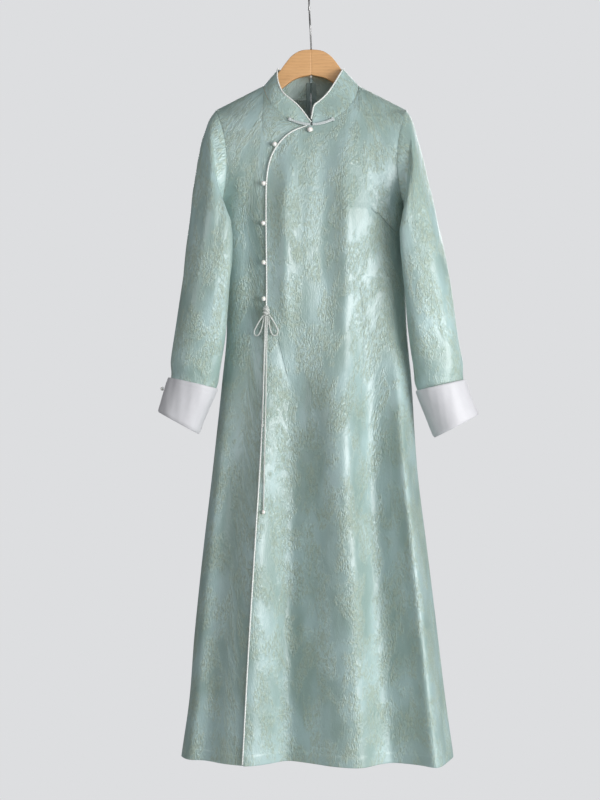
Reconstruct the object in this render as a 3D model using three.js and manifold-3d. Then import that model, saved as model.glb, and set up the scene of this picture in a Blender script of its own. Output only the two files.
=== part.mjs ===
// A long-sleeved, ankle-length cheongsam hanging on a wooden hanger: jacquard cloth cut as a lapping front
// panel, a front side panel, two back panels with a centre-back zip, a stand collar and two sleeves with white
// turned-back cuffs. Millimetres, +Z up, the front faces -Y. The origin is where the hanger's hook rests on a
// rod, and "drop" is a distance straight down from there.
import * as THREE from "three";
import { mergeVertices } from "three/addons/utils/BufferGeometryUtils.js";
import Module from "manifold-3d";

const V = (x, y, z) => new THREE.Vector3(x, y, z);

// Driving dimensions
const CENTRE_X = 4; // the hanger's middle, beside the hook's rest point because the hook leans
const CLOTH = 1.6; // jacquard wall
const CUFF_CLOTH = 2.0; // satin cuff wall, folded double
const SEAM_GAP = 0.4;
const HEM_DROP = 1406;
const UNDERARM_DROP = 400;
const TIP = { x: 176, drop: 213 }; // shoulder tip
const NECK = { x: 88, side: 168, front: 248, back: 190 }; // neckline half-width and its drops
const NECK_SHARE = 0.5; // share of the top edge's parameter that the neckline takes
const SHOULDER_ROUND = 62; // drop over which the cloth rounds over the hanger's arm
const ARM_DEPTH = 46; // half the armhole's depth, front to back
const ARM_INDENT = 18; // how far the armhole's front and back curve in
const ARM_BLEND = 3; // how close to the armhole its depth is felt
const RING_POWER = 2.2; // roundness of the body's cross-section
const LAP = 22; // how far the side panel runs on under the front panel
const LAP_INSET = { bodice: 2.3, hem: 5.5, grows: 400, full: 800 }; // how far under it lies, by drop
const LAP_FADE = 55; // distance over which it comes back out to the surface
const ZIP_SLOT = 1.6; // opening between the back panels' edges
const PIPING_R = 1.4;
const CORD_R = 1.2;
const PEARL_R = 4.1;
const CUFF_PEARL_R = 3.3;
const NECK_PEARL_R = 4.7;
const TAIL_PEARL_R = 3.6;

// Half-widths left and right of the centre line, and half-depths front and back, by drop
const BODY = [
  { drop: 168, left: 176, right: 176, front: 30, back: 30 },
  { drop: 213, left: 176, right: 176, front: 44, back: 42 },
  { drop: 250, left: 176, right: 176, front: 51, back: 46 },
  { drop: 320, left: 172, right: 174, front: 62, back: 52 },
  { drop: 400, left: 168, right: 172, front: 68, back: 56 },
  { drop: 500, left: 161, right: 173, front: 64, back: 52 },
  { drop: 620, left: 156, right: 177, front: 58, back: 48 },
  { drop: 720, left: 165, right: 186, front: 60, back: 56 },
  { drop: 805, left: 174, right: 191, front: 62, back: 64 },
  { drop: 895, left: 184, right: 198, front: 63, back: 70 },
  { drop: 1030, left: 200, right: 215, front: 64, back: 74 },
  { drop: 1185, left: 216, right: 234, front: 64, back: 76 },
  { drop: 1300, left: 225, right: 248, front: 63, back: 78 },
  { drop: 1406, left: 240, right: 263, front: 62, back: 78 },
];

// Lengthwise folds. "at" is the place across the panel, -1 and 1 being the side seams; depth is how far the
// ridge stands out, or a trough goes in; it grows from begin to full, and dies away from wane to end
const FRONT_FOLDS = [
  { at: -0.95, width: 0.09, depth: 33, begin: 616, full: 986, wane: 2000, end: 2100 },
  { at: -0.695, width: 0.112, depth: 14, begin: 791, full: 1433, wane: 2000, end: 2100 },
  { at: -0.306, width: 0.113, depth: 10, begin: 691, full: 1477, wane: 2000, end: 2100 },
  { at: 0.208, width: 0.187, depth: 42, begin: 560, full: 860, wane: 2000, end: 2100 },
  { at: 0.793, width: 0.26, depth: 67, begin: 633, full: 1087, wane: 2000, end: 2100 },
  { at: -0.517, width: 0.17, depth: 46, begin: 520, full: 1040, wane: 2000, end: 2100 },
  { at: -0.19, width: 0.12, depth: -16, begin: 520, full: 1320, wane: 2000, end: 2100 },
  { at: 0.367, width: 0.122, depth: 28, begin: 520, full: 920, wane: 2000, end: 2100 },
  { at: 0.612, width: 0.148, depth: -21, begin: 560, full: 800, wane: 2000, end: 2100 },
  { at: 0.88, width: 0.09, depth: 73, begin: 580, full: 996, wane: 2000, end: 2100 },
  { at: -0.26, width: 0.12, depth: 5, begin: 230, full: 330, wane: 480, end: 640 },
  { at: 0.12, width: 0.12, depth: -5, begin: 240, full: 340, wane: 480, end: 640 },
  { at: 0.42, width: 0.13, depth: 7, begin: 215, full: 330, wane: 440, end: 640 },
  { at: 0.74, width: 0.11, depth: -7, begin: 240, full: 340, wane: 470, end: 640 },
  { at: -0.7, width: 0.12, depth: -7, begin: 240, full: 340, wane: 520, end: 700 },
  { at: -0.3, width: 0.09, depth: 8, begin: 300, full: 420, wane: 560, end: 680 },
  { at: 0.36, width: 0.09, depth: 6, begin: 300, full: 420, wane: 600, end: 700 },
];
const BACK_FOLDS = [
  { at: -0.8, width: 0.13, depth: 24, begin: 700, full: 1406, wane: 2000, end: 2100 },
  { at: -0.52, width: 0.14, depth: -26, begin: 560, full: 1350, wane: 2000, end: 2100 },
  { at: -0.2, width: 0.15, depth: 18, begin: 700, full: 1406, wane: 2000, end: 2100 },
  { at: 0.1, width: 0.14, depth: -20, begin: 760, full: 1406, wane: 2000, end: 2100 },
  { at: 0.38, width: 0.14, depth: 24, begin: 600, full: 1406, wane: 2000, end: 2100 },
  { at: 0.66, width: 0.13, depth: -24, begin: 640, full: 1350, wane: 2000, end: 2100 },
  { at: 0.88, width: 0.1, depth: 18, begin: 800, full: 1406, wane: 2000, end: 2100 },
  { at: -0.45, width: 0.15, depth: -6, begin: 240, full: 340, wane: 480, end: 640 },
  { at: 0.45, width: 0.15, depth: -6, begin: 240, full: 340, wane: 480, end: 640 },
];

// The lapping edge of the front panel: how far it lies from the centre line, by drop
const PLACKET = [
  { drop: 248, x: 0 },
  { drop: 261, x: -33 },
  { drop: 285, x: -59 },
  { drop: 317, x: -74.5 },
  { drop: 366, x: -80.4 },
  { drop: 563, x: -80 },
  { drop: 720, x: -85 },
  { drop: 830, x: -89 },
  { drop: 1006, x: -99.5 },
  { drop: 1192, x: -111 },
  { drop: 1406, x: -122.5 },
];

// Sleeve rings from the armhole to the wrist: the outer and inner points, measured outwards from the centre
// line, then the ring's middle and half-depth front to back, and how far its rear leans outwards
const SLEEVE_RIGHT = [
  { outer: 176, outerDrop: 213, inner: 172, innerDrop: 400, y: 0, depth: 46, lean: 0 },
  { outer: 187, outerDrop: 234, inner: 177, innerDrop: 403, y: -5, depth: 50, lean: 0.1 },
  { outer: 196, outerDrop: 268, inner: 177, innerDrop: 409, y: -14, depth: 53, lean: 0.18 },
  { outer: 205, outerDrop: 308, inner: 173, innerDrop: 417, y: -25, depth: 54, lean: 0.24 },
  { outer: 214, outerDrop: 354, inner: 167, innerDrop: 430, y: -34, depth: 53, lean: 0.28 },
  { outer: 226, outerDrop: 405, inner: 163, innerDrop: 452, y: -40, depth: 50, lean: 0.3 },
  { outer: 241, outerDrop: 470, inner: 165, innerDrop: 496, y: -42, depth: 48, lean: 0.3 },
  { outer: 255, outerDrop: 545, inner: 172, innerDrop: 560, y: -40, depth: 45, lean: 0.28 },
  { outer: 267, outerDrop: 620, inner: 178, innerDrop: 632, y: -36, depth: 42, lean: 0.22 },
  { outer: 277, outerDrop: 678, inner: 188, innerDrop: 698, y: -32, depth: 40, lean: 0.14 },
  { outer: 279, outerDrop: 713, inner: 195, innerDrop: 733, y: -30, depth: 38, lean: 0.1 },
  { outer: 303, outerDrop: 772, inner: 225.7, innerDrop: 812, y: -28, depth: 39.2, lean: 0.05 },
];
const SLEEVE_LEFT = [
  { outer: 176, outerDrop: 213, inner: 168, innerDrop: 400, y: 0, depth: 46, lean: 0 },
  { outer: 190, outerDrop: 236, inner: 172, innerDrop: 403, y: -7, depth: 50, lean: 0.12 },
  { outer: 200, outerDrop: 272, inner: 170, innerDrop: 409, y: -18, depth: 53, lean: 0.22 },
  { outer: 206, outerDrop: 313, inner: 162, innerDrop: 417, y: -32, depth: 54, lean: 0.3 },
  { outer: 211, outerDrop: 355, inner: 153, innerDrop: 430, y: -44, depth: 53, lean: 0.34 },
  { outer: 217, outerDrop: 405, inner: 147, innerDrop: 452, y: -51, depth: 50, lean: 0.35 },
  { outer: 226, outerDrop: 470, inner: 147, innerDrop: 496, y: -52, depth: 48, lean: 0.34 },
  { outer: 236, outerDrop: 545, inner: 152, innerDrop: 560, y: -48, depth: 45, lean: 0.3 },
  { outer: 248, outerDrop: 620, inner: 157, innerDrop: 632, y: -42, depth: 42, lean: 0.24 },
  { outer: 257, outerDrop: 676, inner: 166, innerDrop: 694, y: -36, depth: 40, lean: 0.14 },
  { outer: 257, outerDrop: 710, inner: 175, innerDrop: 730, y: -33, depth: 38, lean: 0.1 },
  { outer: 277.8, outerDrop: 768, inner: 205.8, innerDrop: 807, y: -30, depth: 39.2, lean: 0.05 },
];
// Cuff rings, top to bottom; the slit is where the cuff is open, as an angle from its outermost line
const CUFF_RIGHT = [
  { outer: 284, outerDrop: 711, inner: 190, innerDrop: 733, y: -31, depth: 44, lean: 0.1 },
  { outer: 307, outerDrop: 775, inner: 225, innerDrop: 818, y: -28, depth: 42, lean: 0.05 },
];
const CUFF_LEFT = [
  { outer: 263, outerDrop: 707, inner: 170.5, innerDrop: 729, y: -34, depth: 44, lean: 0.1 },
  { outer: 281.5, outerDrop: 770, inner: 204, innerDrop: 812, y: -30, depth: 42, lean: 0.05 },
];
const CUFF_SLIT = { left: 0, right: 0.8, topWidth: 1.2, bottomWidth: 7, pearlAlong: 0.36 };

// The collar's top edge: half-width and drops of a full-height band, and the height it is cut to, by the angle
// from the centre front, as a share of the full band
const COLLAR_TOP = { x: 61, side: 139, front: 208, back: 146, frontY: -38, backY: 29 };
const COLLAR_CUT = [
  { angle: 0, left: 0.06, right: 0.12 },
  { angle: 5, left: 0.28, right: 0.84 },
  { angle: 12, left: 0.55, right: 0.97 },
  { angle: 20, left: 0.7, right: 1 },
  { angle: 30, left: 0.72, right: 1 },
  { angle: 45, left: 0.66, right: 1 },
  { angle: 60, left: 0.76, right: 1 },
  { angle: 76, left: 0.95, right: 1 },
  { angle: 90, left: 1, right: 1 },
  { angle: 180, left: 1, right: 1 },
];
const COLLAR_LEAN_LEFT = 10; // how far the left front of the collar leans out

// Hanger: the top and lower outlines of one arm, by distance from the middle
const HANGER_THICK = 12;
const HANGER_TOP = [
  { x: 0, drop: 101 },
  { x: 20, drop: 103.5 },
  { x: 36, drop: 113 },
  { x: 47, drop: 126 },
  { x: 57, drop: 139.5 },
  { x: 66.5, drop: 150.5 },
  { x: 75, drop: 161 },
  { x: 82, drop: 169.8 },
  { x: 88, drop: 173.4 },
];
const HANGER_BOTTOM = [
  { x: 0, drop: 148.5 },
  { x: 30, drop: 156.5 },
  { x: 56, drop: 175.5 },
  { x: 85, drop: 200 },
  { x: 120, drop: 219 },
  { x: 164, drop: 238 },
];
const HANGER_TIP = 168;
const HOOK = { wire: 1.6, inner: 18, seat: 22, fit: 0.3 };

// The zip: its top as a share of the collar, its bottom as a drop, its tape and its raised coil
const ZIP = { top: 0.75, bottom: 700, tape: 9, tapeThick: 1.0, coil: 3, coilThick: 2.2 };

// Placket pearls by drop, and where they sit beside the piping
const PEARL_DROPS = [288, 356, 428, 499, 565];
const PEARL_ASIDE = 6.8;
const PEARL_OUT = 4;

// The bow: its knot, the loops as offsets from the knot, and the two hanging ends
const KNOT = { drop: 587, aside: -1.5, out: 6.4, flatness: 0.72 };
const LOOP_LIFT = { over: 4.6, under: 2.6 }; // how far each half of a loop stands off the cloth
const TAIL = { top: KNOT.drop + 9.2, longEnd: 946, shortEnd: 792, outTop: 5, outLow: 3.9, knotR: 2.2 };
const LOOPS = {
  left: [
    [-5.3, -7.9], [-11.5, -17], [-18, -28], [-22, -38],
    [-20, -44.5], [-15, -44], [-9, -33], [-3.8, -10.3],
  ],
  right: [
    [5.3, -7.9], [11.5, -17], [18, -28], [21, -37],
    [18, -44.5], [12, -44], [7, -33], [3.9, -10.3],
  ],
};

// Small helpers
const clamp01 = (v) => Math.min(1, Math.max(0, v));
const lerp = (a, b, t) => a + (b - a) * t;
const smooth = (a, b, v) => {
  const t = clamp01((v - a) / (b - a));
  return t * t * (3 - 2 * t);
};

// A column of a table at any value of its key, on a smooth curve through the rows
function read(table, key, column, value) {
  const last = table.length - 1;
  if (value <= table[0][key]) return table[0][column];
  if (value >= table[last][key]) return table[last][column];
  let i = 0;
  while (table[i + 1][key] < value) i++;
  const slope = (k) => {
    const a = table[Math.max(0, k - 1)];
    const b = table[Math.min(last, k + 1)];
    return (b[column] - a[column]) / (b[key] - a[key]);
  };
  const span = table[i + 1][key] - table[i][key];
  const t = (value - table[i][key]) / span;
  const t2 = t * t;
  const t3 = t2 * t;
  return (
    (2 * t3 - 3 * t2 + 1) * table[i][column] +
    (t3 - 2 * t2 + t) * span * slope(i) +
    (3 * t2 - 2 * t3) * table[i + 1][column] +
    (t3 - t2) * span * slope(i + 1)
  );
}

// The body's surface
const shoulderDrop = (aside) =>
  aside < NECK.x
    ? NECK.side - (NECK.x - aside) * 0.3
    : NECK.side + ((aside - NECK.x) * (TIP.drop - NECK.side)) / (TIP.x - NECK.x);

// How far down the armhole a drop lies, 0 at the tip and 1 at the underarm
const armShare = (drop) => clamp01((drop - TIP.drop) / (UNDERARM_DROP - TIP.drop));

// The armhole's or side seam's distance from the centre line
function reach(side, drop) {
  if (drop <= TIP.drop) return TIP.x;
  if (drop >= UNDERARM_DROP) return read(BODY, "drop", side, drop);
  const share = armShare(drop);
  const under = read(BODY, "drop", side, UNDERARM_DROP);
  return lerp(TIP.x, under, share) - ARM_INDENT * 4 * share * (1 - share);
}

function foldDepth(folds, across, drop) {
  let sum = 0;
  for (const f of folds) {
    const grown = smooth(f.begin, f.full, drop) * (1 - smooth(f.wane, f.end, drop));
    sum += f.depth * grown * Math.exp(-(((across - f.at) / f.width) ** 2));
  }
  return sum;
}

// Half-depth of the front or back at a place, with its folds
function depthAt(face, x, drop) {
  const aside = x - CENTRE_X;
  const limit = reach(aside < 0 ? "left" : "right", drop);
  const across = Math.max(-1, Math.min(1, aside / limit));
  const round = (1 - Math.abs(across) ** RING_POWER) ** (1 / RING_POWER);
  const share = armShare(drop);
  const atArm = ARM_DEPTH * 2 * Math.sqrt(share * (1 - share));
  const over = 1 - clamp01((drop - shoulderDrop(Math.abs(aside))) / SHOULDER_ROUND);
  const crown = Math.sqrt(1 - over * over);
  const folds = face === "front" ? FRONT_FOLDS : BACK_FOLDS;
  const full = read(BODY, "drop", face, drop) + foldDepth(folds, across, drop);
  const atMiddle = full * crown;
  const arm = atArm ** ARM_BLEND;
  return (arm + (atMiddle ** ARM_BLEND - arm) * round ** ARM_BLEND) ** (1 / ARM_BLEND);
}

// The top edge of a panel, neckline and shoulder seam: s runs from -1 to 1 across the garment
function topEdge(face, s) {
  const sign = Math.sign(s) || 1;
  const part = Math.abs(s) / NECK_SHARE;
  if (part <= 1) {
    const turn = Math.cos((part * Math.PI) / 2);
    const fall = face === "front" ? turn ** 1.2 : turn ** 2;
    const low = face === "front" ? NECK.front : NECK.back;
    return [sign * NECK.x * Math.sin((part * Math.PI) / 2), lerp(NECK.side, low, fall)];
  }
  const out = (Math.abs(s) - NECK_SHARE) / (1 - NECK_SHARE);
  return [sign * lerp(NECK.x, TIP.x, out), lerp(NECK.side, TIP.drop, out)];
}

// Place across and down for the panel parameters: row runs 0 to 1 from the top edge to the underarm line, and
// 1 to 2 from there to the hem
function placeOf(face, s, row) {
  const swing = Math.sin((s * Math.PI) / 2);
  const side = s < 0 ? "left" : "right";
  if (row >= 1) {
    const drop = lerp(UNDERARM_DROP, HEM_DROP, row - 1);
    return [CENTRE_X + reach(side, drop) * swing, drop];
  }
  const [topX, topDrop] = topEdge(face, s);
  const lowX = reach(side, UNDERARM_DROP) * swing;
  const t = (s + 1) / 2;
  const edgeDrop = lerp(TIP.drop, UNDERARM_DROP, row);
  const edgeX = lerp(-reach("left", edgeDrop), reach("right", edgeDrop), t);
  const cornerX = lerp(
    lerp(-TIP.x, TIP.x, t),
    lerp(-reach("left", UNDERARM_DROP), reach("right", UNDERARM_DROP), t),
    row,
  );
  return [
    CENTRE_X + lerp(topX, lowX, row) + edgeX - cornerX,
    lerp(topDrop, UNDERARM_DROP, row) + edgeDrop - lerp(TIP.drop, UNDERARM_DROP, row),
  ];
}

// The surface's outward direction
function outwardAt(face, x, drop) {
  const STEP = 0.5;
  const across = (depthAt(face, x + STEP, drop) - depthAt(face, x - STEP, drop)) / (2 * STEP);
  const down = (depthAt(face, x, drop + STEP) - depthAt(face, x, drop - STEP)) / (2 * STEP);
  return V(-across, face === "front" ? -1 : 1, down).normalize();
}

// A point of the outer surface, moved in by an inset
const MOST_STEEP = 0.35;
function bodyPoint(face, s, row, inset = 0) {
  const [x, drop] = placeOf(face, s, row);
  const level = inset ? Math.max(MOST_STEEP, Math.abs(outwardAt(face, x, drop).y)) : 1;
  const depth = Math.max(0, depthAt(face, x, drop) - inset / level) + SEAM_GAP / 2;
  const tuck = row === 0 ? inset * 0.6 : 0; // the top edge stays below the collar's foot
  return V(x, face === "front" ? -depth : depth, -drop - tuck);
}

// Outer surface at a place given straight across and down
const frontAt = (x, drop, out = 0) => V(x, -depthAt("front", x, drop) - SEAM_GAP / 2 - out, -drop);
const backAt = (x, drop, out = 0) => V(x, depthAt("back", x, drop) + SEAM_GAP / 2 + out, -drop);

const placketX = (drop) => CENTRE_X + read(PLACKET, "drop", "x", drop);

// The parameter s at which a row meets the lapping edge, moved sideways by a distance
function placketS(row, beyond = 0) {
  let low = -0.95;
  let high = 0.5;
  for (let i = 0; i < 40; i++) {
    const mid = (low + high) / 2;
    const [x, drop] = placeOf("front", mid, row);
    if (x < placketX(drop) + beyond) low = mid;
    else high = mid;
  }
  return (low + high) / 2;
}

// Rows of every panel: even steps of angle down the armhole, then even steps to the hem
const ARM_STEPS = 9;
const SKIRT_STEPS = 12;
const PANEL_ROWS = [
  ...Array.from({ length: ARM_STEPS }, (_, k) => (1 - Math.cos((k * Math.PI) / ARM_STEPS)) / 2),
  ...Array.from({ length: SKIRT_STEPS + 1 }, (_, k) => 1 + k / SKIRT_STEPS),
];

// A closed wall of cloth from a grid of outer points. steer may correct the outward direction at an edge
function clothWall(grid, thickness, { closed = false, flip = false, steer = null } = {}) {
  const rows = grid.length;
  const cols = grid[0].length;
  const at = (j, i) => grid[j][closed ? (i + cols) % cols : Math.min(cols - 1, Math.max(0, i))];
  const outer = [];
  const inner = [];
  for (let j = 0; j < rows; j++)
    for (let i = 0; i < cols; i++) {
      const across = at(j, i + 1).clone().sub(at(j, i - 1));
      const down = at(Math.min(rows - 1, j + 1), i).clone().sub(at(Math.max(0, j - 1), i));
      const out = across.cross(down).normalize();
      if (flip) out.negate();
      if (steer) steer(out, j, i);
      out.normalize();
      outer.push(grid[j][i]);
      inner.push(grid[j][i].clone().addScaledVector(out, -thickness));
    }
  const points = [...outer, ...inner];
  const faces = [];
  const quad = (a, b, c, d) => {
    const shortAC = points[a].distanceTo(points[c]) <= points[b].distanceTo(points[d]);
    if (shortAC) faces.push([a, b, c], [a, c, d]);
    else faces.push([a, b, d], [b, c, d]);
  };
  const id = (j, i, layer) => layer * rows * cols + j * cols + (i % cols);
  const spans = closed ? cols : cols - 1;
  for (let j = 0; j < rows - 1; j++)
    for (let i = 0; i < spans; i++) {
      quad(id(j, i, 0), id(j, i + 1, 0), id(j + 1, i + 1, 0), id(j + 1, i, 0));
      quad(id(j, i, 1), id(j + 1, i, 1), id(j + 1, i + 1, 1), id(j, i + 1, 1));
    }
  for (let i = 0; i < spans; i++) {
    quad(id(0, i, 0), id(0, i, 1), id(0, i + 1, 1), id(0, i + 1, 0));
    quad(id(rows - 1, i, 0), id(rows - 1, i + 1, 0), id(rows - 1, i + 1, 1), id(rows - 1, i, 1));
  }
  if (!closed)
    for (let j = 0; j < rows - 1; j++) {
      quad(id(j, 0, 0), id(j + 1, 0, 0), id(j + 1, 0, 1), id(j, 0, 1));
      quad(id(j, cols - 1, 0), id(j, cols - 1, 1), id(j + 1, cols - 1, 1), id(j + 1, cols - 1, 0));
    }
  return facesToGeometry(points, faces, flip);
}

function facesToGeometry(points, faces, reverse = false) {
  const geometry = new THREE.BufferGeometry().setFromPoints(points);
  geometry.setIndex(faces.flatMap(([a, b, c]) => (reverse ? [a, c, b] : [a, b, c])));
  geometry.computeVertexNormals();
  return geometry;
}

// A tube of round section along a smooth curve through the points
function cordAlong(points, radius, steps, sides = 8) {
  const section = new THREE.Shape();
  for (let k = 0; k < sides; k++) {
    const a = (k * 2 * Math.PI) / sides;
    const corner = [radius * Math.cos(a), radius * Math.sin(a)];
    if (k) section.lineTo(...corner);
    else section.moveTo(...corner);
  }
  section.closePath();
  const extrudePath = new THREE.CatmullRomCurve3(points);
  return new THREE.ExtrudeGeometry(section, { steps, extrudePath, bevelEnabled: false });
}

// A solid through closed sections of equal count, with flat ends
function loft(sections) {
  const count = sections[0].length;
  const points = sections.flat();
  const faces = [];
  for (let j = 0; j < sections.length - 1; j++)
    for (let i = 0; i < count; i++) {
      const a = j * count + i;
      const b = j * count + ((i + 1) % count);
      faces.push([a, b, b + count], [a, b + count, a + count]);
    }
  const end = (sections.length - 1) * count;
  for (let i = 1; i < count - 1; i++) {
    faces.push([0, i + 1, i]);
    faces.push([end, end + i, end + i + 1]);
  }
  const geometry = facesToGeometry(points, faces);
  return volumeOf(geometry) < 0 ? facesToGeometry(points, faces, true) : geometry;
}

function volumeOf(geometry) {
  const p = geometry.getAttribute("position");
  const index = geometry.index.array;
  let sum = 0;
  for (let i = 0; i < index.length; i += 3) {
    const [a, b, c] = [0, 1, 2].map((k) => new THREE.Vector3().fromBufferAttribute(p, index[i + k]));
    sum += a.dot(b.cross(c)) / 6;
  }
  return sum;
}

const pearlShape = (radius) => new THREE.SphereGeometry(radius, 9, 6);

// Materials
const finish = (color, roughness, metalness = 0) =>
  new THREE.MeshStandardMaterial({ color, roughness, metalness });
const JACQUARD = finish(0x9db8b0, 0.7);
const SATIN = finish(0xf0eff0, 0.45);
const PIPING = finish(0xe9ece6, 0.5);
const CORD = finish(0xd5dbd4, 0.5);
const PEARL = finish(0xf3efe4, 0.2);
const ZIP_TAPE = finish(0x7f9896, 0.8);
const METAL = finish(0x8f9492, 0.35, 1);
const WOOD = finish(0xcf9d66, 0.5);
const STEEL = finish(0x9b9b9b, 0.3, 1);

const garment = new THREE.Group();
function add(name, geometry, material, parent = garment) {
  const mesh = new THREE.Mesh(geometry, material);
  mesh.name = name;
  parent.add(mesh);
  return mesh;
}

// Front and back panels
// The direction in which the neck edge is cut through, which the collar's foot shares
function neckCut(face, s) {
  const [aside, drop] = topEdge(face, s);
  return outwardAt(face, CENTRE_X + aside * 0.995, drop + 1);
}

// The wall's inside follows the seam plane along shoulder and side seams, and never leans out at the armhole
function steerPanel(face, sideOf, isSideEdge) {
  return (out, j, i) => {
    const row = PANEL_ROWS[j];
    const s = sideOf(j, i);
    const onShoulder = j === 0 && Math.abs(s) > NECK_SHARE - 0.01;
    const onSide = isSideEdge(i);
    if (j === 0 && !onShoulder) out.copy(neckCut(face, s));
    if (onShoulder) out.y = 0;
    if (onSide && row >= 1) out.y = 0;
    if (onSide && row < 1) out.x = s < 0 ? Math.min(0, out.x) : Math.max(0, out.x);
    if (onSide && j === 0) out.x = 0;
  };
}

// Even steps between marks, with a count of columns for each stretch
function spread(marks, counts, i) {
  let k = 0;
  while (k < counts.length - 1 && i > counts[k]) i -= counts[k++];
  return lerp(marks[k], marks[k + 1], i / counts[k]);
}

function panel(face, counts, marksOf, sideColumn, insetAt = null, shift = null) {
  const columns = counts.reduce((sum, count) => sum + count);
  const sOf = (j, i) => spread(marksOf(PANEL_ROWS[j]), counts, i);
  const grid = PANEL_ROWS.map((row, j) =>
    Array.from({ length: columns + 1 }, (_, i) => {
      const s = sOf(j, i);
      const point = bodyPoint(face, s, row, insetAt ? insetAt(s, row) : 0);
      if (shift) point.x += shift(s);
      return point;
    }),
  );
  return clothWall(grid, CLOTH, {
    flip: face === "front",
    steer: steerPanel(face, sOf, (i) => i === sideColumn),
  });
}

const MAIN_COLUMNS = [12, 6];
const SIDE_COLUMNS = [4, 9];
const BACK_COLUMNS = [4, 8];
const mainEdge = MAIN_COLUMNS[0] + MAIN_COLUMNS[1];
const mainMarks = (row) => [placketS(row), NECK_SHARE, 1];
const sideMarks = (row) => [-1, -NECK_SHARE, placketS(row, LAP)];
add("front_panel", panel("front", MAIN_COLUMNS, mainMarks, mainEdge), JACQUARD);
function lapInset(s, row) {
  const [x, drop] = placeOf("front", s, row);
  const deep = lerp(LAP_INSET.bodice, LAP_INSET.hem, smooth(LAP_INSET.grows, LAP_INSET.full, drop));
  return deep * (1 - smooth(0, LAP_FADE, placketX(drop) - x));
}
add("front_side_panel", panel("front", SIDE_COLUMNS, sideMarks, 0, lapInset), JACQUARD);
const slotShift = (sign) => (s) => (sign * ZIP_SLOT * (1 - Math.abs(s))) / 2;
const leftMarks = () => [-1, -NECK_SHARE, 0];
const rightMarks = () => [0, NECK_SHARE, 1];
const backEdge = BACK_COLUMNS[0] + BACK_COLUMNS[1];
add("back_left", panel("back", BACK_COLUMNS, leftMarks, 0, null, slotShift(-1)), JACQUARD);
const rightColumns = BACK_COLUMNS.toReversed();
add("back_right", panel("back", rightColumns, rightMarks, backEdge, null, slotShift(1)), JACQUARD);

// Sleeves and cuffs
const SLEEVE_COLUMNS = 2 * ARM_STEPS;

// A ring between the rows of a table: along is the row number, which may be a fraction
function ringPoint(table, sign, along, angle, grow = 0) {
  const rows = table.map((row, index) => ({ ...row, index }));
  const get = (column) => read(rows, "index", column, along);
  const outer = V(get("outer"), 0, -get("outerDrop"));
  const inner = V(get("inner"), 0, -get("innerDrop"));
  const middle = outer.clone().add(inner).multiplyScalar(0.5);
  const half = outer.clone().sub(inner).multiplyScalar(0.5);
  half.setLength(half.length() + grow);
  const sin = Math.sin(angle);
  const deep = (get("depth") + grow) * sin;
  const indent = ARM_INDENT * Math.max(0, 1 - along) * sin * sin;
  const x = middle.x + half.x * Math.cos(angle) + get("lean") * deep - indent;
  return V(CENTRE_X + sign * x, get("y") + deep, middle.z + half.z * Math.cos(angle));
}

function sleeve(table, sign) {
  const rings = [0, 0.5, 1, 2, 3, 4, 5, 6, 7, 8, 9, 10, 11];
  const grid = rings.map((along) =>
    Array.from({ length: SLEEVE_COLUMNS }, (_, i) => {
      const point = ringPoint(table, sign, along, (i * 2 * Math.PI) / SLEEVE_COLUMNS);
      if (along === 0) point.x += sign * SEAM_GAP;
      return point;
    }),
  );
  return clothWall(grid, CLOTH, {
    closed: true,
    flip: sign > 0,
    steer: (out, j) => {
      if (j === 0) out.x = sign > 0 ? Math.min(0, out.x) : Math.max(0, out.x);
    },
  });
}

// A cuff turned back over the sleeve's end, open along one slit
const CUFF_ROWS = 3;
const CUFF_COLUMNS = 20;
function slitAngle(table, along, width) {
  return width / 2 / lerp(table[0].depth, table[1].depth, along);
}
function cuff(table, sign, slit) {
  const grid = Array.from({ length: CUFF_ROWS + 1 }, (_, j) => {
    const along = j / CUFF_ROWS;
    const half = slitAngle(table, along, lerp(CUFF_SLIT.topWidth, CUFF_SLIT.bottomWidth, along));
    return Array.from({ length: CUFF_COLUMNS + 1 }, (_, i) => {
      const angle = slit + half + (i * (2 * Math.PI - 2 * half)) / CUFF_COLUMNS;
      return cuffPoint(table, sign, along, angle);
    });
  });
  return clothWall(grid, CUFF_CLOTH, { flip: sign > 0 });
}
function cuffPoint(table, sign, along, angle, out = 0) {
  const [top, bottom] = table;
  const row = Object.fromEntries(Object.keys(top).map((key) => [key, lerp(top[key], bottom[key], along)]));
  return ringPoint([row, row, row], sign, 1, angle, out);
}
for (const [name, table, cuffs, sign] of [
  ["right", SLEEVE_RIGHT, CUFF_RIGHT, 1],
  ["left", SLEEVE_LEFT, CUFF_LEFT, -1],
]) {
  add(`sleeve_${name}`, sleeve(table, sign), JACQUARD);
  add(`cuff_${name}`, cuff(cuffs, sign, CUFF_SLIT[name]), SATIN);
  const seat = cuffPoint(cuffs, sign, CUFF_SLIT.pearlAlong, CUFF_SLIT[name], CUFF_PEARL_R + SEAM_GAP);
  add(`cuff_pearl_${name}`, pearlShape(CUFF_PEARL_R), PEARL).position.copy(seat);
}

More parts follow.
